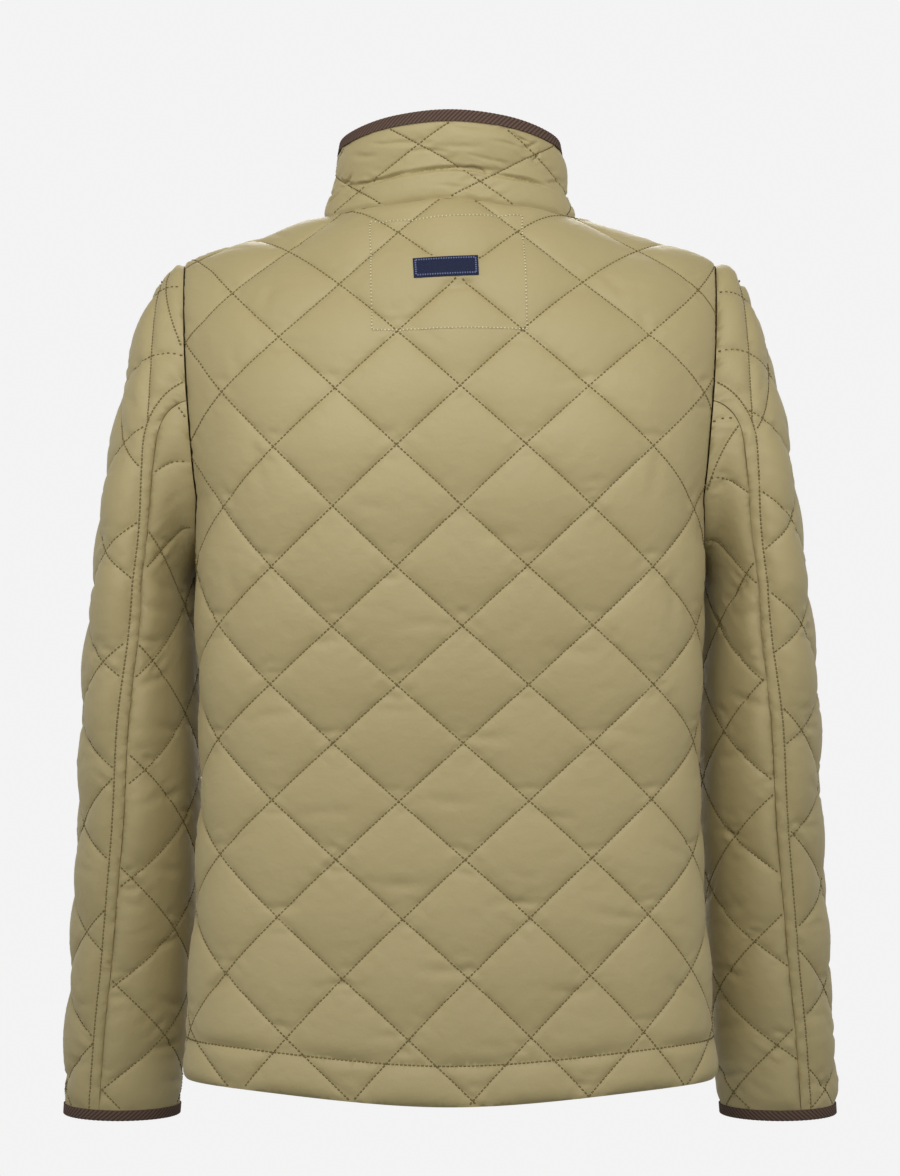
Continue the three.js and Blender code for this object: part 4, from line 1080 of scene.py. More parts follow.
def sleeve_angle(panel, s, z):
    length = s if panel == "upper" else ring_length(z, math.pi) - s
    return look_up(ring_lengths(z), RING_ANGLES, length)


def armhole_loop(panel):
    """The armhole as the sleeve meets it, from the shoulder tip to the underarm."""
    tip = ridge_height(panel, np.array([length_to_x(panel, ARMHOLE_TIP_X)]))[0]
    down = np.arange(LOOP_STEPS) / LOOP_STEPS
    round_under = np.sin(QUARTER * np.arange(LOOP_STEPS + 1) / LOOP_STEPS)
    upper = tip + (ARMHOLE_MIDDLE - tip) * down
    lower = ARMHOLE_MIDDLE + (ARMHOLE_BOTTOM - ARMHOLE_MIDDLE) * round_under
    t = np.concatenate([upper, lower])
    face = back_face if panel == "back" else front_face
    place, normal = face(armhole_edge(panel, t), t)
    place[:, 0] += ARMHOLE_CLEARANCE + WALL * np.maximum(0, normal[:, 0])
    return lengths_along(place[None])[0], place


ARMHOLE_LOOP = {panel: armhole_loop(panel) for panel in ("back", "front")}


def cap_points(angle, steps):
    """The curves that upright lines of the sleeve follow from the bicep to the armhole."""
    level = np.full(len(angle), BICEP)
    start = sleeve_ring(level, angle)
    from_outer = np.where(angle > math.pi, angle - 2 * math.pi, angle)
    share = np.abs(ring_length(level, from_outer)) / ring_length(BICEP, math.pi)[0]
    behind = (angle >= 0) & (angle <= math.pi)
    end = np.empty_like(start)
    for panel, chosen in (("back", behind), ("front", ~behind)):
        length, place = ARMHOLE_LOOP[panel]
        at = np.minimum(share[chosen], 1) * length[-1]
        for axis in range(3):
            end[chosen, axis] = np.interp(at, length, place[:, axis])
    slope = CAP_SLOPE * np.maximum(0, np.cos(angle))
    climb, reach = end[:, 2] - start[:, 2], start[:, 0] - end[:, 0]
    upwards = np.array([-CAP_LEAN, 0, 1])
    outwards = np.stack([np.cos(slope), 0 * slope, -np.sin(slope)], axis=1)
    low = start + CAP_RISE * climb[:, None] * upwards
    high = end + CAP_REACH * reach[:, None] * outwards
    u = steps[..., None]
    weights = ((1 - u) ** 3, 3 * u * (1 - u) ** 2, 3 * u * u * (1 - u), u**3)
    curve = sum(w * p[:, None] for w, p in zip(weights, (start, low, high, end)))
    straight = end - high
    return curve, straight / np.linalg.norm(straight, axis=1)[:, None]


def sleeve(panel, s, t):
    place = np.empty((len(s), 3))
    low = t <= BICEP
    if low.any():
        place[low] = sleeve_ring(t[low], sleeve_angle(panel, s[low], t[low]))
    if low.all():
        return place
    angle = sleeve_angle(panel, s[~low], np.full((~low).sum(), BICEP))
    climb = t[~low] - BICEP
    curve, straight = cap_points(angle, np.broadcast_to(CAP_STEPS, (len(angle), len(CAP_STEPS))))
    length = lengths_along(curve)
    u = look_up(length, CAP_STEPS, np.minimum(climb, length[:, -1]))
    beyond = np.maximum(climb - length[:, -1], 0)
    place[~low] = cap_points(angle, u[:, None])[0][:, 0] + straight * beyond[:, None]
    return place


sleeve_faces = {
    "upper": facing(lambda s, t: sleeve("upper", s, t), 1),
    "under": facing(lambda s, t: sleeve("under", s, t), -1),
}


def cap_height(panel, s):
    at = np.linspace(s.min() - 1, s.max() + 1, 160)
    angle = sleeve_angle(panel, at, np.full(len(at), BICEP))
    curve, _ = cap_points(angle, np.broadcast_to(CAP_STEPS, (len(at), len(CAP_STEPS))))
    return BICEP + np.interp(s, at, lengths_along(curve)[:, -1])


def cap_stitching(panel, s):
    """The line of stitches inside the armhole seam, equally far from it all the way."""
    across = np.arange(-220.0, 220, 2)
    cap = cap_height(panel, across)
    slope = np.gradient(cap, across)
    size = np.hypot(1, slope)
    inside = np.maximum.accumulate(across + CAP_STITCHING * slope / size)
    return np.interp(s, inside, cap - CAP_STITCHING / size)


def sleeve_seam(panel, t, which):
    """Where a sleeve panel's two seams lie across it."""
    z = np.minimum(t, BICEP)
    if which == "back":
        angle = np.radians(read(BACK_SEAM, "angle", t))
    else:
        angle = np.full(len(z), math.radians(FRONT_SEAM_ANGLE))
    if panel == "upper":
        return ring_length(z, angle)
    around = angle if which == "back" else angle + 2 * math.pi
    return ring_length(z, math.pi) - ring_length(z, around)


def sleeve_seams(panel):
    return {
        "back": lambda s, t: sleeve_seam(panel, t, "back") - SEAM_GAP / 2 - s,
        "front": lambda s, t: s - sleeve_seam(panel, t, "front") - SEAM_GAP / 2,
        "armhole": lambda s, t: cap_height(panel, s) - t,
        "cuff": lambda s, t: t - CUFF,
    }


def straight_lattice(start, across, up):
    """Quilting whose lines are straight on the flat cloth. One diamond over is twice across,
    and one diamond higher is twice up."""

    def counts(s, t):
        scale = across[0] * up[1] - across[1] * up[0]
        over = ((s - start[0]) * up[1] - (t - start[1]) * up[0]) / scale
        high = ((t - start[1]) * across[0] - (s - start[0]) * across[1]) / scale
        return (over + high) / 2, (over - high) / 2

    def place(rising, falling):
        over, high = rising + falling, rising - falling
        s = start[0] + across[0] * over + up[0] * high
        return s, start[1] + across[1] * over + up[1] * high

    return counts, place


INNER_PRESS = (40, 80)  # from pressed against the body to full, across the under panel


def sleeve_press(panel, s):
    if panel == "upper":
        return np.ones(len(s))
    return PRESSED + (1 - PRESSED) * smooth_step(np.abs(s), *INNER_PRESS)


ELBOW_BAND = 8.5  # from the elbow seam to the stitching beside it
BAND_RISE = 1.8
BAND_GATHERS = 0.7  # how far the gathered cloth of the band rises and falls
CAP_STITCHING = 19.0
BINDING_WIDTH = 8.0
PAST_BINDING = 0.6  # the cloth is stitched flat this far past the binding
# Where the arm presses the cloth below the shoulder blade, creases fan out from the armhole.
SLEEVE_FOLDS = {
    ("upper", "left"): table(
        CREASE_COLUMNS,
        (75, -95, -52, 30, 3, 1.2, 2),
        (82, -112, -46, 34, 3, 1.5, 2),
        (86, -130, -38, 32, 2.6, 1.4, 2),
        (88, -146, -28, 30, 2.4, 1.5, -2),
        (66, -150, -40, 40, 4, 1.2, 3),
        (46, -120, -60, 44, 4, 0.9, 3),
        (30, -190, 30, 46, 4, 1.0, -3),
        (58, -226, -35, 34, 3, 1.3, 2),
        (36, -236, -48, 36, 3.5, 1.2, 2),
        (-10, -170, 68, 56, 5, 0.9, 4),
        (66, -300, 6, 26, 3, 1.0, 1),
        (70, -352, -4, 24, 3, 0.9, 1),
        (20, -330, 58, 48, 4, 1.0, 3),
        (62, -440, 8, 30, 3, 0.9, 1),
        (10, -470, 60, 46, 4, 0.9, -3),
        (58, -530, -6, 28, 3, 0.9, 1),
        (0, -600, 64, 50, 4, 1.0, 3),
        (50, -640, 5, 30, 3, 1.0, 1),
        (44, -690, -4, 34, 3.5, 1.2, 2),
        (8, -705, 10, 40, 4, 1.1, 2),
    ),
    ("upper", "right"): table(
        CREASE_COLUMNS,
        (78, -100, -48, 32, 3, 1.3, 2),
        (84, -122, -42, 34, 2.8, 1.5, -2),
        (87, -142, -30, 30, 2.5, 1.5, 2),
        (60, -135, -44, 42, 4, 1.1, 3),
        (40, -175, 38, 42, 4, 1.0, -3),
        (62, -214, -30, 36, 3, 1.3, 2),
        (30, -228, -50, 34, 3.5, 1.1, 2),
        (-14, -150, 72, 52, 5, 0.9, 4),
        (68, -285, 4, 28, 3, 1.0, 1),
        (64, -335, -8, 26, 3, 1.0, 1),
        (12, -355, 62, 46, 4, 1.0, -3),
        (66, -415, 5, 28, 3, 0.9, 1),
        (60, -495, 7, 30, 3, 0.9, -1),
        (6, -520, 58, 50, 4, 0.9, 3),
        (52, -575, -5, 28, 3, 1.0, 1),
        (48, -650, 6, 32, 3.5, 1.1, 2),
        (10, -668, -12, 42, 4, 1.1, 2),
        (40, -708, 3, 36, 3.5, 1.1, 2),
    ),
    ("under", "left"): table(
        CREASE_COLUMNS,
        (70, -318, 22, 44, 3.5, 1.7, 3),
        (74, -345, 12, 40, 3, 1.5, 2),
        (60, -300, 34, 40, 3.5, 1.5, 3),
        (66, -376, -18, 38, 3.5, 1.3, -2),
        (52, -415, 14, 46, 4, 1.4, 3),
        (48, -470, -12, 40, 4, 1.1, 2),
        (44, -530, 10, 44, 4, 1.1, 3),
        (40, -590, -14, 40, 4, 1.1, 2),
        (34, -640, 16, 44, 4, 1.3, 3),
        (30, -675, -8, 46, 4, 1.3, 2),
        (24, -705, 6, 42, 4, 1.4, 2),
    ),
    ("under", "right"): table(
        CREASE_COLUMNS,
        (72, -322, 18, 42, 3.5, 1.6, 3),
        (68, -352, 26, 38, 3, 1.5, -2),
        (58, -306, 36, 42, 3.5, 1.6, 3),
        (64, -392, -14, 40, 3.5, 1.3, 2),
        (50, -438, 12, 44, 4, 1.3, 3),
        (46, -500, -10, 42, 4, 1.1, -2),
        (42, -560, 14, 44, 4, 1.1, 3),
        (36, -615, -12, 42, 4, 1.2, 2),
        (32, -660, 14, 44, 4, 1.3, 3),
        (26, -700, 4, 44, 4, 1.4, 2),
    ),
}
SLEEVE_REACH = 7
ABOVE_BINDING = (CUFF + BINDING_WIDTH, CUFF + BINDING_WIDTH + 9)  # the elbow band ends here


def upper_sleeve_lines(seams):
    return [
        lambda s, t: seams["back"](s, t) - ELBOW_BAND,
        lambda s, t: cap_stitching("upper", s) - t,
    ]


def sleeve_height(panel, side, lattice, seams, seed):
    quilted = quilt_height(
        lattice,
        seams,
        lambda s, t: sleeve_press(panel, s),
        [
            SLEEVE_FOLDS[panel, side],
            small_folds(lattice, seams, seed, 0.85),
            crossing_folds(lattice, seams, seed + 5, 0.9),
        ],
        seed=seed,
        pucker=11,
        lines=upper_sleeve_lines(seams) if panel == "upper" else [],
        covered=[lambda s, t: t - CUFF - BINDING_WIDTH - PAST_BINDING],
    )
    if panel == "under":
        return quilted

    def height(s, t):
        """The quilting, with the turned seam under the cloth beside the elbow seam."""
        into = seams["back"](s, t) / ELBOW_BAND
        band = np.sin(math.pi * np.clip(into, 0, 1)) ** 0.6
        gathers = BAND_GATHERS * np.sin(t / 2.6 + 2 * np.sin(t / 17)) * uneven(np.floor(t / 23), 1, seed)
        on_band = (into > 0) & (into < 1)
        flat_cloth = WALL + (BAND_RISE + gathers) * band * smooth_step(t, *ABOVE_BINDING)
        return np.where(on_band, flat_cloth, quilted(s, t))

    return height


for panel in ("upper", "under"):
    for side, mirrored in SIDES:
        seed = 41 + 2 * mirrored + (panel == "under")
        seams = sleeve_seams(panel)
        lattice = straight_lattice(*SLEEVE_QUILTING[panel, side])
        face = sleeve_faces[panel]
        height = sleeve_height(panel, side, lattice, seams, seed)
        lines = upper_sleeve_lines(seams) if panel == "upper" else []
        flat = cut_panel(lattice, seams, SLEEVE_REACH, lines)
        piece = put_on(f"quilted_sleeve_{panel}_{side}", flat, face, height, mirrored)
        piece.data.materials.append(cloth)
        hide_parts(f"sleeve_{panel}_{side}")
        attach(piece, "jacket")
        skip = [lambda s, t: t - CUFF - BINDING_WIDTH]
        if panel == "upper":
            skip.append(lambda s, t: seams["back"](s, t) - ELBOW_BAND)
            up = np.arange(CUFF + BINDING_WIDTH, 60, 2.0)
            beside_seam = stitch_spots(sleeve_seam(panel, up, "back") - ELBOW_BAND, up)
            across = np.arange(-160.0, 160, 2)
            round_cap = stitch_spots(across, cap_stitching(panel, across))
            round_cap = keep_inside(round_cap, [seams["back"]], ELBOW_BAND)
            rows = keep_inside(np.concatenate([beside_seam, round_cap], axis=1), seams.values())
            sew(f"sleeve_topstitches_{side}", rows, face, height, olive_thread, mirrored)
        sewn_quilting(
            f"sleeve_{panel}_quilting_stitches_{side}",
            lattice,
            seams,
            face,
            height,
            SLEEVE_REACH,
            skip=skip,
            mirrored=mirrored,
        )


# The stand collar, one quilted strip sewn round the neck. It bends in a third of the way up,
# which leaves a level crease with short dents along it.
COLLAR = table(
    "share half back front", (0, 100, 62, 98), (0.33, 92, 58.5, 92.5), (0.7, 89.5, 60.5, 91),
    (1, 86.5, 62, 90),
)
COLLAR_TOP = table("angle z", (-30, 72), (0, 76), (30, 72), (60, 63), (90, 53), (135, 29), (180, 12))
COLLAR_HEIGHT = 70.0
NECK_OVERLAP = 1.15  # the collar sits this far down over the neck edge of the body
COLLAR_ANGLES = np.linspace(0, math.pi, 181)


def collar_plan(share, angle):
    deep = np.cos(angle)
    reach = np.where(deep > 0, read(COLLAR, "back", share), read(COLLAR, "front", share))
    return np.stack([read(COLLAR, "half", share) * np.sin(angle), reach * deep], axis=-1)


def neck_seam(angle):
    """The level of the cloth under each point of the neck seam, and the room it needs."""
    plan = collar_plan(0 * angle, angle)
    level, clear = np.empty(len(angle)), np.empty(len(angle))
    for panel, chosen in (("back", plan[:, 1] > 0), ("front", plan[:, 1] <= 0)):
        aim = plan[chosen]
        s, t = np.maximum(np.abs(aim[:, 0]), 0.5), np.full(len(aim), CHEST + 230)
        for _ in range(14):
            at = torso(panel, s, t)
            by_side = (torso(panel, s + PROBE, t) - at) / PROBE
            by_height = (torso(panel, s, t + PROBE) - at) / PROBE
            dx, dy = aim[:, 0] - at[:, 0], aim[:, 1] - at[:, 1]
            scale = by_side[:, 0] * by_height[:, 1] - by_side[:, 1] * by_height[:, 0]
            s = np.maximum(0.5, s + (dx * by_height[:, 1] - dy * by_height[:, 0]) / scale)
            t = t + np.clip((dy * by_side[:, 0] - dx * by_side[:, 1]) / scale, -40, 40)
        place, normal = (back_face if panel == "back" else front_face)(s, t)
        level[chosen], clear[chosen] = place[:, 2], SEAM_GAP + WALL * normal[:, 2]
    return level + clear


NECK_SEAM = neck_seam(COLLAR_ANGLES)
COLLAR_ROUND = lengths_along(collar_plan(0 * COLLAR_ANGLES, COLLAR_ANGLES)[None])[0]
COLLAR_END = COLLAR_ROUND[-1] - FRONT_EDGE


def collar(s, t):
    angle = np.interp(np.abs(s), COLLAR_ROUND, COLLAR_ANGLES)
    past = np.maximum(np.abs(s) - COLLAR_ROUND[-1], 0)
    share = t / COLLAR_HEIGHT
    plan = collar_plan(share, angle)
    bottom = np.interp(angle, COLLAR_ANGLES, NECK_SEAM) - NECK_OVERLAP
    top = read(COLLAR_TOP, "z", np.degrees(angle))
    x = np.where(s < 0, -1, 1) * (plan[:, 0] - past)
    return np.stack([x, plan[:, 1], bottom + (top - bottom) * share], axis=1)


collar_face = facing(collar, -1)
collar_seams = {
    "ends": lambda s, t: COLLAR_END - np.abs(s),
    "neck": lambda s, t: t + 0,
    "top": lambda s, t: COLLAR_HEIGHT - t,
}
COLLAR_FOLDS = table(
    CREASE_COLUMNS,
    (6, 24, -2, 120, 2.4, 2.3, 1),
    (-62, 22, 3, 70, 2.4, 2.2, -1),
    (66, 21, -4, 66, 2.4, 2.3, 2),
    (-21, 26, 0, 22, 1.6, 2.0, -4),
    (78, 22, 18, 20, 1.6, 2.2, -3),
    (99, 27, -26, 26, 1.8, 1.9, 2),
    (96, 26, 24, 30, 2.2, 1.6, 2),
    (112, 16, -30, 26, 2.2, 1.5, 1),
    (-24, 24, 2, 22, 1.8, 1.6, -3),
    (-96, 27, -20, 32, 2.2, 1.4, 2),
    (40, 48, 8, 40, 3, 0.7, 2),
    (-20, 55, 2, 46, 3, 0.7, 2),
    (-60, 60, -14, 30, 2.4, 0.9, 2),
    (-74, 52, -28, 26, 1.8, 1.2, 2),
    (-66, 55, 12, 24, 1.6, 1.0, 2),
    (-80, 44, -50, 20, 1.6, 1.1, 2),
    (-52, 49, 4, 40, 1.8, 0.7, -2),
    (-36, 34, 3, 52, 1.8, 0.6, 2),
    (20, 40, 5, 46, 1.8, 0.5, -2),
    (60, 50, 10, 34, 1.8, 0.7, 2),
    (-8, 9, 2, 60, 2, 0.4, 1),
    (78, 44, 16, 36, 3, 0.8, 2),
    (-10, 42, -2, 50, 3, 0.5, 2),
    (140, 22, 4, 70, 2.6, 1.6, 2),
    (-144, 23, -3, 74, 2.6, 1.6, -2),
    (190, 24, 2, 60, 2.6, 1.4, 1),
    (-196, 22, -2, 56, 2.6, 1.4, 1),
)


COLLAR_PUFF = 0.62  # share of the body's, since the collar's wadding is thinner
collar_quilting = straight_lattice((27.5, 45.6), (52.5, 0), (0, 30.2))
collar_height = quilt_height(
    collar_quilting,
    collar_seams,
    lambda s, t: COLLAR_PUFF + 0 * s,
    [COLLAR_FOLDS],
    seed=71,
    pucker=6,
    covered=[lambda s, t: COLLAR_HEIGHT - BINDING_WIDTH - PAST_BINDING - t],
)
COLLAR_REACH = 4
COLLAR_CELLS = 44  # the creases are narrower here
flat = cut_panel(collar_quilting, collar_seams, COLLAR_REACH, cells=COLLAR_CELLS)
stand = put_on("quilted_collar", flat, collar_face, collar_height)
stand.data.materials.append(cloth)
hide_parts("collar")
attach(stand, "jacket")
sewn_quilting(
    "collar_quilting_stitches",
    collar_quilting,
    collar_seams,
    collar_face,
    collar_height,
    COLLAR_REACH,
    skip=[lambda s, t: COLLAR_HEIGHT - BINDING_WIDTH - t],
)


# Brown twill tape, folded over the top of the collar and round each cuff and stitched through.
# Its ribs slant along the fold. They are drawn a little wider apart than they are, to show.
BINDING_THICKNESS = 1.1
BINDING_CLEARANCE = 0.3
RIB_PITCH = 3.9
RIB_RISE = 0.6
RIB_SLANT = 1.1  # how far a rib moves along the fold for each millimetre round it
BINDING_STEP = 0.55


def binding_outline():
    """The folded tape seen end on, as distances out of the cloth and down from its edge."""
    low = -BINDING_CLEARANCE - BINDING_THICKNESS
    high = WALL + BINDING_CLEARANCE + BINDING_THICKNESS
    fold = np.radians(np.linspace(0, 180, 9))
    middle, radius = (low + high) / 2, (high - low) / 2
    round_out = np.stack([middle + radius * np.cos(fold), -radius * np.sin(fold) * 0.6], axis=1)
    outer = [(high, BINDING_WIDTH * k) for k in (1.0, 0.8, 0.6, 0.4, 0.2)]
    inner = [(low, BINDING_WIDTH * k) for k in (0.2, 0.6, 1.0)]
    hidden = [(-BINDING_CLEARANCE, BINDING_WIDTH), (-BINDING_CLEARANCE, 0.4)]
    hidden += [(WALL + BINDING_CLEARANCE, 0.4), (WALL + BINDING_CLEARANCE, BINDING_WIDTH)]
    return np.array(outer + [tuple(p) for p in round_out] + inner + hidden)


def fold_tape(name, s, edge, closed, mirrored=False):
    """Sweeps the folded tape along an edge of the cloth. edge gives its place and directions."""
    outline = binding_outline()
    place, out, inwards = edge(s)
    count = len(outline)
    corners = (
        place[:, None]
        + outline[None, :, 0, None] * out[:, None]
        + outline[None, :, 1, None] * inwards[:, None]
    )
    round_it = np.concatenate([[0], np.cumsum(np.linalg.norm(np.diff(outline, axis=0), axis=1))])
    middle = corners[:, :-4].mean(axis=1, keepdims=True)
    seen = np.arange(count) < count - 4
    rib = np.abs(np.sin(math.pi * (s[:, None] + RIB_SLANT * round_it[None]) / RIB_PITCH)) ** 0.7
    away = corners - middle
    away /= np.linalg.norm(away, axis=2)[..., None]
    corners = corners + (RIB_RISE * (rib - 1) * seen)[..., None] * away
    tape = bmesh.new()
    flip = -1 if mirrored else 1
    rings = [
        [tape.verts.new((flip * x * MM, y * MM, z * MM)) for x, y, z in ring] for ring in corners
    ]
    pairs = list(zip(rings, rings[1:])) + ([(rings[-1], rings[0])] if closed else [])
    for one, other in pairs:
        for k in range(count):
            nxt = (k + 1) % count
            tape.faces.new((one[k], one[nxt], other[nxt], other[k]))
    if not closed:
        tape.faces.new(rings[0])
        tape.faces.new(rings[-1])
    bmesh.ops.recalc_face_normals(tape, faces=list(tape.faces))
    mesh = mesh_of(name, tape, sharp_from=60)
    map_pattern(mesh, np.stack([np.repeat(s, count), np.tile(round_it, len(s))], axis=1) * MM)
    return placed(name, mesh)


# Cotton twill tape: matt, dark brown, with painted shade between the ribs and a painted highlight on
# their tops.
def twill_tape():
    material, tree = new_material("cotton_twill_tape")
    pattern = node(tree, "ShaderNodeUVMap", uv_map="pattern").outputs["UV"]
    parts = node(tree, "ShaderNodeSeparateXYZ", {"Vector": pattern})
    slant = node(
        tree,
        "ShaderNodeMath",
        {0: parts.outputs["Y"], 1: RIB_SLANT, 2: parts.outputs["X"]},
        operation="MULTIPLY_ADD",
    )
    turns = node(
        tree,
        "ShaderNodeMath",
        {0: slant.outputs["Value"], 1: math.pi / (RIB_PITCH * MM)},
        operation="MULTIPLY",
    )
    wave = node(tree, "ShaderNodeMath", {0: turns.outputs["Value"]}, operation="SINE")
    rib = node(tree, "ShaderNodeMath", {0: wave.outputs["Value"]}, operation="ABSOLUTE")
    fuzz = node(tree, "ShaderNodeTexNoise", {"Vector": pattern, "Scale": 1400, "Detail": 2})
    share = node(
        tree,
        "ShaderNodeMath",
        {0: fuzz.outputs["Fac"], 1: 0.3, 2: rib.outputs["Value"]},
        operation="MULTIPLY_ADD",
    )
    # Painted shade between the ribs and painted highlight on their tops, with a little random fuzz.
    colour = node(
        tree,
        "ShaderNodeMix",
        {"Factor": share.outputs["Value"], "A": linear("#120D0B"), "B": linear("#604D43")},
        data_type="RGBA",
    )
    bump = node(
        tree,
        "ShaderNodeBump",
        {"Height": fuzz.outputs["Fac"], "Strength": 0.4, "Distance": 0.2 * MM},
    )
    shader = node(
        tree,
        "ShaderNodeBsdfPrincipled",
        {
            "Base Color": colour.outputs["Result"],
            "Roughness": 0.85,
            "Specular IOR Level": 0.15,
            "Normal": bump.outputs["Normal"],
        },
    )
    node(tree, "ShaderNodeOutputMaterial", {"Surface": shader.outputs["BSDF"]})
    return material


twill = twill_tape()


def collar_edge(s):
    top = np.full(len(s), COLLAR_HEIGHT)
    place, out = collar_face(s, top)
    down = collar(s, top - BINDING_WIDTH) - place
    return place, out, down / np.linalg.norm(down, axis=1)[:, None]


def cuff_edge(s):
    bottom = np.full(len(s), CUFF)
    place, out = sleeve_faces["upper"](s, bottom)
    up = sleeve("upper", s, bottom + BINDING_WIDTH) - place
    return place, out, up / np.linalg.norm(up, axis=1)[:, None]


binding = fold_tape(
    "collar_twill_binding",
    np.arange(-COLLAR_END, COLLAR_END, BINDING_STEP),
    collar_edge,
    closed=False,
)
binding.data.materials.append(twill)
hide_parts("collar_binding")
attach(binding, "jacket")

cuff_round = 2 * ring_length(CUFF, math.pi)[0]
for side, mirrored in SIDES:
    ribs = round(cuff_round / RIB_PITCH)
    s = np.linspace(0, ribs * RIB_PITCH, 6 * ribs, endpoint=False) * cuff_round / (ribs * RIB_PITCH)
    binding = fold_tape(
        f"cuff_twill_binding_{side}", s - cuff_round / 3, cuff_edge, closed=True, mirrored=mirrored
    )
    binding.data.materials.append(twill)
    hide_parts(f"cuff_binding_{side}")
    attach(binding, "jacket")


# The label on the upper back: a woven navy tab with a darker turned edge and a row of blue
# stitching round it. It is bare.
LABEL_THICKNESS = 1.0
LABEL_BORDER = 2.0  # from the label's edge to its stitching


def label_face(along, over):
    s = LABEL_X + along * math.cos(LABEL_TILT) - over * math.sin(LABEL_TILT)
    t = LABEL_T + along * math.sin(LABEL_TILT) + over * math.cos(LABEL_TILT)
    return back_face(s, t)


def woven_label():
    material, tree = new_material("woven_label")
    pattern = node(tree, "ShaderNodeUVMap", uv_map="pattern").outputs["UV"]
    fleck = node(tree, "ShaderNodeTexNoise", {"Vector": pattern, "Scale": 700, "Detail": 4})
    weave = node(
        tree,
        "ShaderNodeTexWave",
        {"Vector": pattern, "Scale": 2 * math.pi / (0.8 * MM) / 20},
        bands_direction="Y",
    )
    contrast = node(
        tree,
        "ShaderNodeMapRange",
        {"Value": fleck.outputs["Fac"], "From Min": 0.35, "From Max": 0.7},
    )
    colour = node(
        tree,
        "ShaderNodeMix",
        {"Factor": contrast.outputs["Result"], "A": linear("#171C31"), "B": linear("#232944")},
        data_type="RGBA",
    )
    bump = node(
        tree,
        "ShaderNodeBump",
        {"Height": weave.outputs["Fac"], "Strength": 0.5, "Distance": 0.15 * MM},
    )
    shader = node(
        tree,
        "ShaderNodeBsdfPrincipled",
        {
            "Base Color": colour.outputs["Result"],
            "Roughness": 0.7,
            "Specular IOR Level": 0.15,
            "Normal": bump.outputs["Normal"],
        },
    )
    node(tree, "ShaderNodeOutputMaterial", {"Surface": shader.outputs["BSDF"]})
    return material


def label_bed(along, over):
    """The underside of the label, on the flattened quilting."""
    place, normal = label_face(along, over)
    return place + normal * LABEL_LIFT, normal


def label_rim(along, over):
    """The label is thinnest at its turned edge and is pressed in under its stitching."""
    inset = np.minimum(LABEL_WIDTH / 2 - np.abs(along), LABEL_HEIGHT / 2 - np.abs(over))
    rim = LABEL_THICKNESS * (0.55 + 0.45 * smooth_step(inset, 0, 0.9))
    return rim - 0.22 * np.exp(-(((inset - LABEL_BORDER) / 0.7) ** 2))


label_weave = woven_label()
tab = bmesh.new()
bmesh.ops.create_grid(tab, x_segments=50, y_segments=17, size=0.5)
bmesh.ops.scale(tab, verts=tab.verts, vec=(LABEL_WIDTH, LABEL_HEIGHT, 1))
label = put_on("navy_label", tab, label_bed, label_rim)
label.data.materials.append(label_weave)
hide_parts("back_label")
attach(label, "jacket")

# Its second colour is the painted shade at the needle holes of the stitches.
blue_thread = sewing_thread("blue_thread", "#6C7398", "#161A2C")
half_width, half_height = LABEL_WIDTH / 2 - LABEL_BORDER, LABEL_HEIGHT / 2 - LABEL_BORDER
corners = [(half_width * i, half_height * j) for i, j in ((-1, -1), (1, -1), (1, 1), (-1, 1))]
border_spots = []
for (x0, y0), (x1, y1) in zip(corners, corners[1:] + corners[:1]):
    border_spots.append(stitch_spots(np.linspace(x0, x1, 30), np.linspace(y0, y1, 30), pitch=1.9))
sew(
    "label_stitches",
    np.concatenate(border_spots, axis=1),
    label_face,
    lambda s, t: LABEL_LIFT + 0.8 + 0 * s,
    blue_thread,
    length=1.6,
)


# The zip: woven tape on both sides, brass teeth that mesh down the middle, a stop at the foot
# and a slider with its pull at the collar.
def zip_tape_weave():
    material, tree = new_material("woven_zip_tape")
    place = node(tree, "ShaderNodeTexCoord").outputs["Object"]
    weave = node(
        tree,
        "ShaderNodeTexWave",
        {"Vector": place, "Scale": 2 * math.pi / (1.1 * MM) / 20, "Distortion": 0.5},
        bands_direction="Z",
    )
    colour = node(
        tree,
        "ShaderNodeMix",
        {"Factor": weave.outputs["Fac"], "A": linear("#4A4129"), "B": linear("#6E6344")},
        data_type="RGBA",
    )
    bump = node(
        tree,
        "ShaderNodeBump",
        {"Height": weave.outputs["Fac"], "Strength": 0.6, "Distance": 0.25 * MM},
    )
    shader = node(
        tree,
        "ShaderNodeBsdfPrincipled",
        {"Base Color": colour.outputs["Result"], "Roughness": 0.85, "Normal": bump.outputs["Normal"]},
    )
    node(tree, "ShaderNodeOutputMaterial", {"Surface": shader.outputs["BSDF"]})
    return material


# Antique brass: die-cast or stamped, darkened and then tumbled, which leaves its edges brighter; the
# material gives random patches of darker and brighter brass.
def antique_brass():
    material, tree = new_material("antique_brass")
    place = node(tree, "ShaderNodeTexCoord").outputs["Object"]
    wear = node(tree, "ShaderNodeTexNoise", {"Vector": place, "Scale": 260, "Detail": 4})
    colour = node(
        tree,
        "ShaderNodeMix",
        {"Factor": wear.outputs["Fac"], "A": linear("#6B5836"), "B": linear("#B39A63")},
        data_type="RGBA",
    )
    rough = node(
        tree,
        "ShaderNodeMapRange",
        {"Value": wear.outputs["Fac"], "To Min": 0.28, "To Max": 0.5},
    )
    shader = node(
        tree,
        "ShaderNodeBsdfPrincipled",
        {"Base Color": colour.outputs["Result"], "Metallic": 1.0, "Roughness": rough.outputs["Result"]},
    )
    node(tree, "ShaderNodeOutputMaterial", {"Surface": shader.outputs["BSDF"]})
    return material


tape_weave = zip_tape_weave()
brass = antique_brass()
for side in ("left", "right"):
    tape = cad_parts[f"zip_tape_{side}"]
    tape.data.materials.clear()
    tape.data.materials.append(tape_weave)


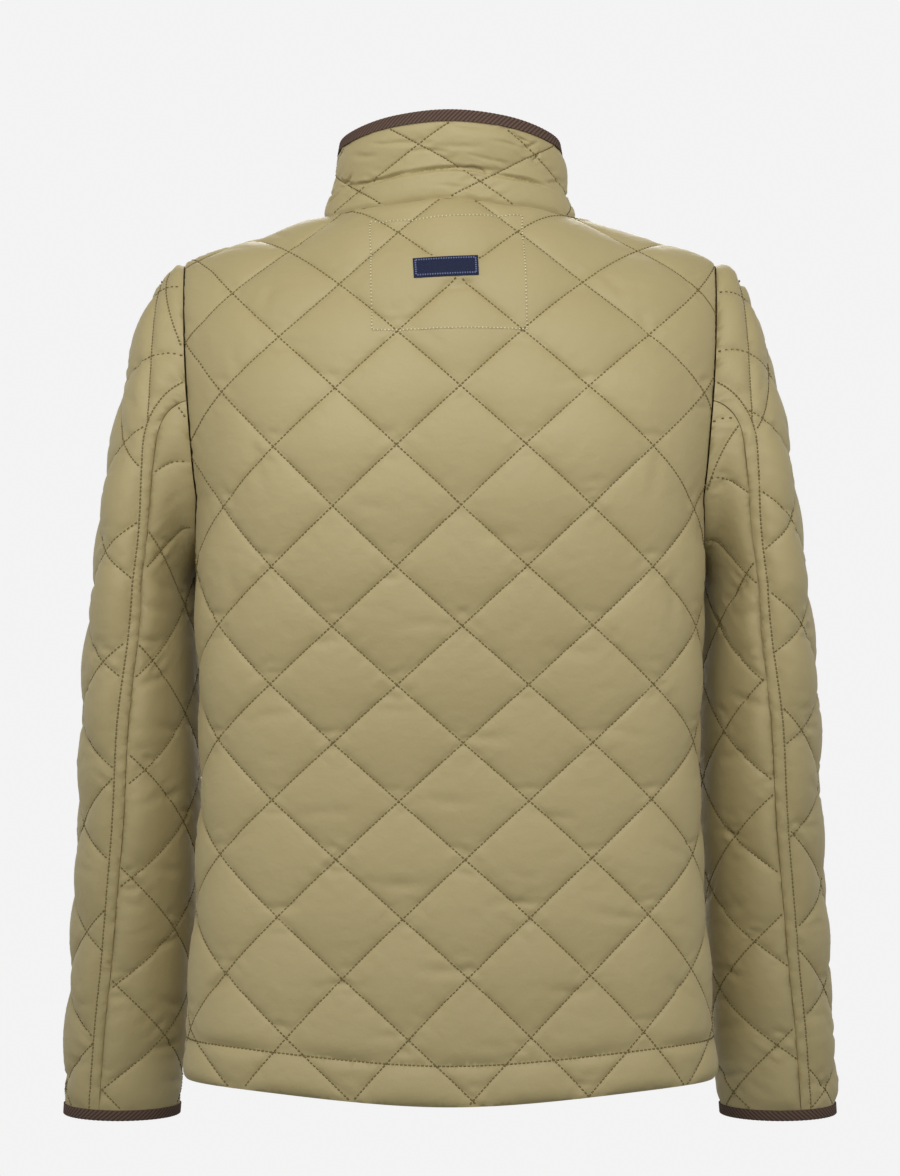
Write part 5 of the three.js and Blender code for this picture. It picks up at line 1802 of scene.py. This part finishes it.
def finished_copy(name, cad_node, bevel, body):
    """A CAD node's shape with its points merged and its edges rounded."""
    shape = bmesh.new()
    shape.from_mesh(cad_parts[cad_node].data)
    bmesh.ops.remove_doubles(shape, verts=shape.verts, dist=0.02 * MM)
    bmesh.ops.dissolve_limit(
        shape, angle_limit=math.radians(2), verts=shape.verts, edges=shape.edges
    )
    bmesh.ops.recalc_face_normals(shape, faces=shape.faces)
    piece = placed(name, mesh_of(name, shape))
    rounding = piece.modifiers.new("rounding", "BEVEL")
    rounding.width = bevel * MM
    rounding.segments = 2
    rounding.limit_method = "ANGLE"
    rounding.angle_limit = math.radians(40)
    piece.data.materials.append(brass)
    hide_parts(cad_node)
    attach(piece, body)
    return piece


finished_copy("brass_slider", "zip_slider", 0.25, "jacket")
finished_copy("brass_pull", "zip_pull", 0.3, "pull_tab")
finished_copy("brass_stop", "zip_stop", 0.35, "jacket")

TOOTH_PITCH = 2.6
TOOTH_LENGTH = 1.5
TOOTH_HALF = 3.0
TOOTH_OVERLAP = 0.9
chain_low, chain_high = (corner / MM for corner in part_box("zip_chain"))
chain_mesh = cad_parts["zip_chain"].data
chain_points = np.array([v.co for v in chain_mesh.vertices]) / MM
levels = np.unique(np.round(chain_points[:, 2], 2))
path_z, path_y = [], []
for level in levels:
    near = chain_points[np.abs(chain_points[:, 2] - level) < 0.6]
    path_z.append(level)
    path_y.append(near[:, 1].mean())
teeth = bmesh.new()
step = 0
z = chain_low[2] + TOOTH_PITCH / 2
while z < chain_high[2] - TOOTH_PITCH / 2:
    y = float(np.interp(z, path_z, path_y))
    side = 1 if step % 2 else -1
    tooth = bmesh.ops.create_cube(teeth, size=1)["verts"]
    bmesh.ops.scale(
        teeth,
        verts=tooth,
        vec=((TOOTH_HALF + TOOTH_OVERLAP) * MM, 2.2 * MM, TOOTH_LENGTH * MM),
    )
    shift = side * (TOOTH_HALF - TOOTH_OVERLAP) / 2
    bmesh.ops.translate(teeth, verts=tooth, vec=(shift * MM, y * MM, z * MM))
    step += 1
    z += TOOTH_PITCH / 2
zip_teeth = placed("zip_teeth", mesh_of("zip_teeth", teeth))
zip_teeth.data.materials.append(brass)
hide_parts("zip_chain")
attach(zip_teeth, "jacket")


# The studio: a pale floor well below the jacket, a softbox above the back and one above the
# front, a weak one at each side, and the camera behind the jacket, level with its middle.
def plain_paint(name, colour):
    material, tree = new_material(name)
    shader = node(
        tree, "ShaderNodeBsdfPrincipled", {"Base Color": linear(colour), "Roughness": 0.9}
    )
    node(tree, "ShaderNodeOutputMaterial", {"Surface": shader.outputs["BSDF"]})
    return material


floor_shape = bmesh.new()
bmesh.ops.create_circle(floor_shape, cap_ends=True, segments=64, radius=20)
bmesh.ops.translate(floor_shape, verts=floor_shape.verts, vec=(0, 0, -4))
floor = placed("floor", mesh_of("floor", floor_shape))
floor.data.materials.append(plain_paint("pale_floor", "#C9C9C5"))

# The sky is white near the level and dimmer above and below, so that the softboxes shape the
# cloth.
LEVEL_LIGHT = 0.9
STEEP_LIGHT = 0.34
world = bpy.data.worlds.new("studio")
world.use_nodes = True
sky = world.node_tree
background = sky.nodes["Background"]
ray = node(sky, "ShaderNodeTexCoord").outputs["Generated"]
steep = node(sky, "ShaderNodeSeparateXYZ", {"Vector": ray}).outputs["Z"]
from_level = node(sky, "ShaderNodeMath", {0: steep}, operation="ABSOLUTE").outputs["Value"]
dimmer = node(
    sky,
    "ShaderNodeMapRange",
    {
        "Value": from_level,
        "From Min": 0.16,
        "From Max": 0.42,
        "To Min": LEVEL_LIGHT,
        "To Max": STEEP_LIGHT,
    },
    interpolation_type="SMOOTHSTEP",
)
background.inputs["Color"].default_value = (1, 1, 1, 1)
sky.links.new(dimmer.outputs["Result"], background.inputs["Strength"])
bpy.context.scene.world = world
bpy.context.scene.view_settings.view_transform = "Standard"


def softbox(name, place, aim, size, energy):
    light = bpy.data.lights.new(name, "AREA")
    light.shape = "RECTANGLE"
    light.size, light.size_y = size
    light.energy = energy
    lamp = placed(name, light)
    lamp.location = place
    way = np.array(aim) - np.array(place)
    yaw = math.atan2(way[1], way[0]) - QUARTER
    pitch = math.atan2(way[2], math.hypot(way[0], way[1])) + QUARTER
    lamp.rotation_euler = (pitch, 0, yaw)
    return lamp


MIDDLE = (0, 0, -0.35)
softbox("key_above", (0.03, 1.45, 0.8), MIDDLE, (0.8, 0.6), 19)
softbox("fill_left", (1.9, 1.3, 0.3), MIDDLE, (0.8, 1.6), 6)
softbox("fill_right", (-1.9, 1.3, 0.3), MIDDLE, (0.8, 1.6), 5)
softbox("key_front", (-0.03, -1.45, 0.8), MIDDLE, (0.8, 0.6), 19)

CAMERA_DISTANCE = 3.2
CAMERA_LEVEL = -0.303
SEEN_HEIGHT = 0.9526  # of the frame, at the middle of the jacket
camera_data = bpy.data.cameras.new("camera")
camera_data.sensor_width = 36
camera_data.lens = 36 * CAMERA_DISTANCE / SEEN_HEIGHT
camera = placed("camera", camera_data)
camera.location = (0, CAMERA_DISTANCE, CAMERA_LEVEL)
camera.rotation_euler = (QUARTER, 0, math.pi)
bpy.context.scene.camera = camera
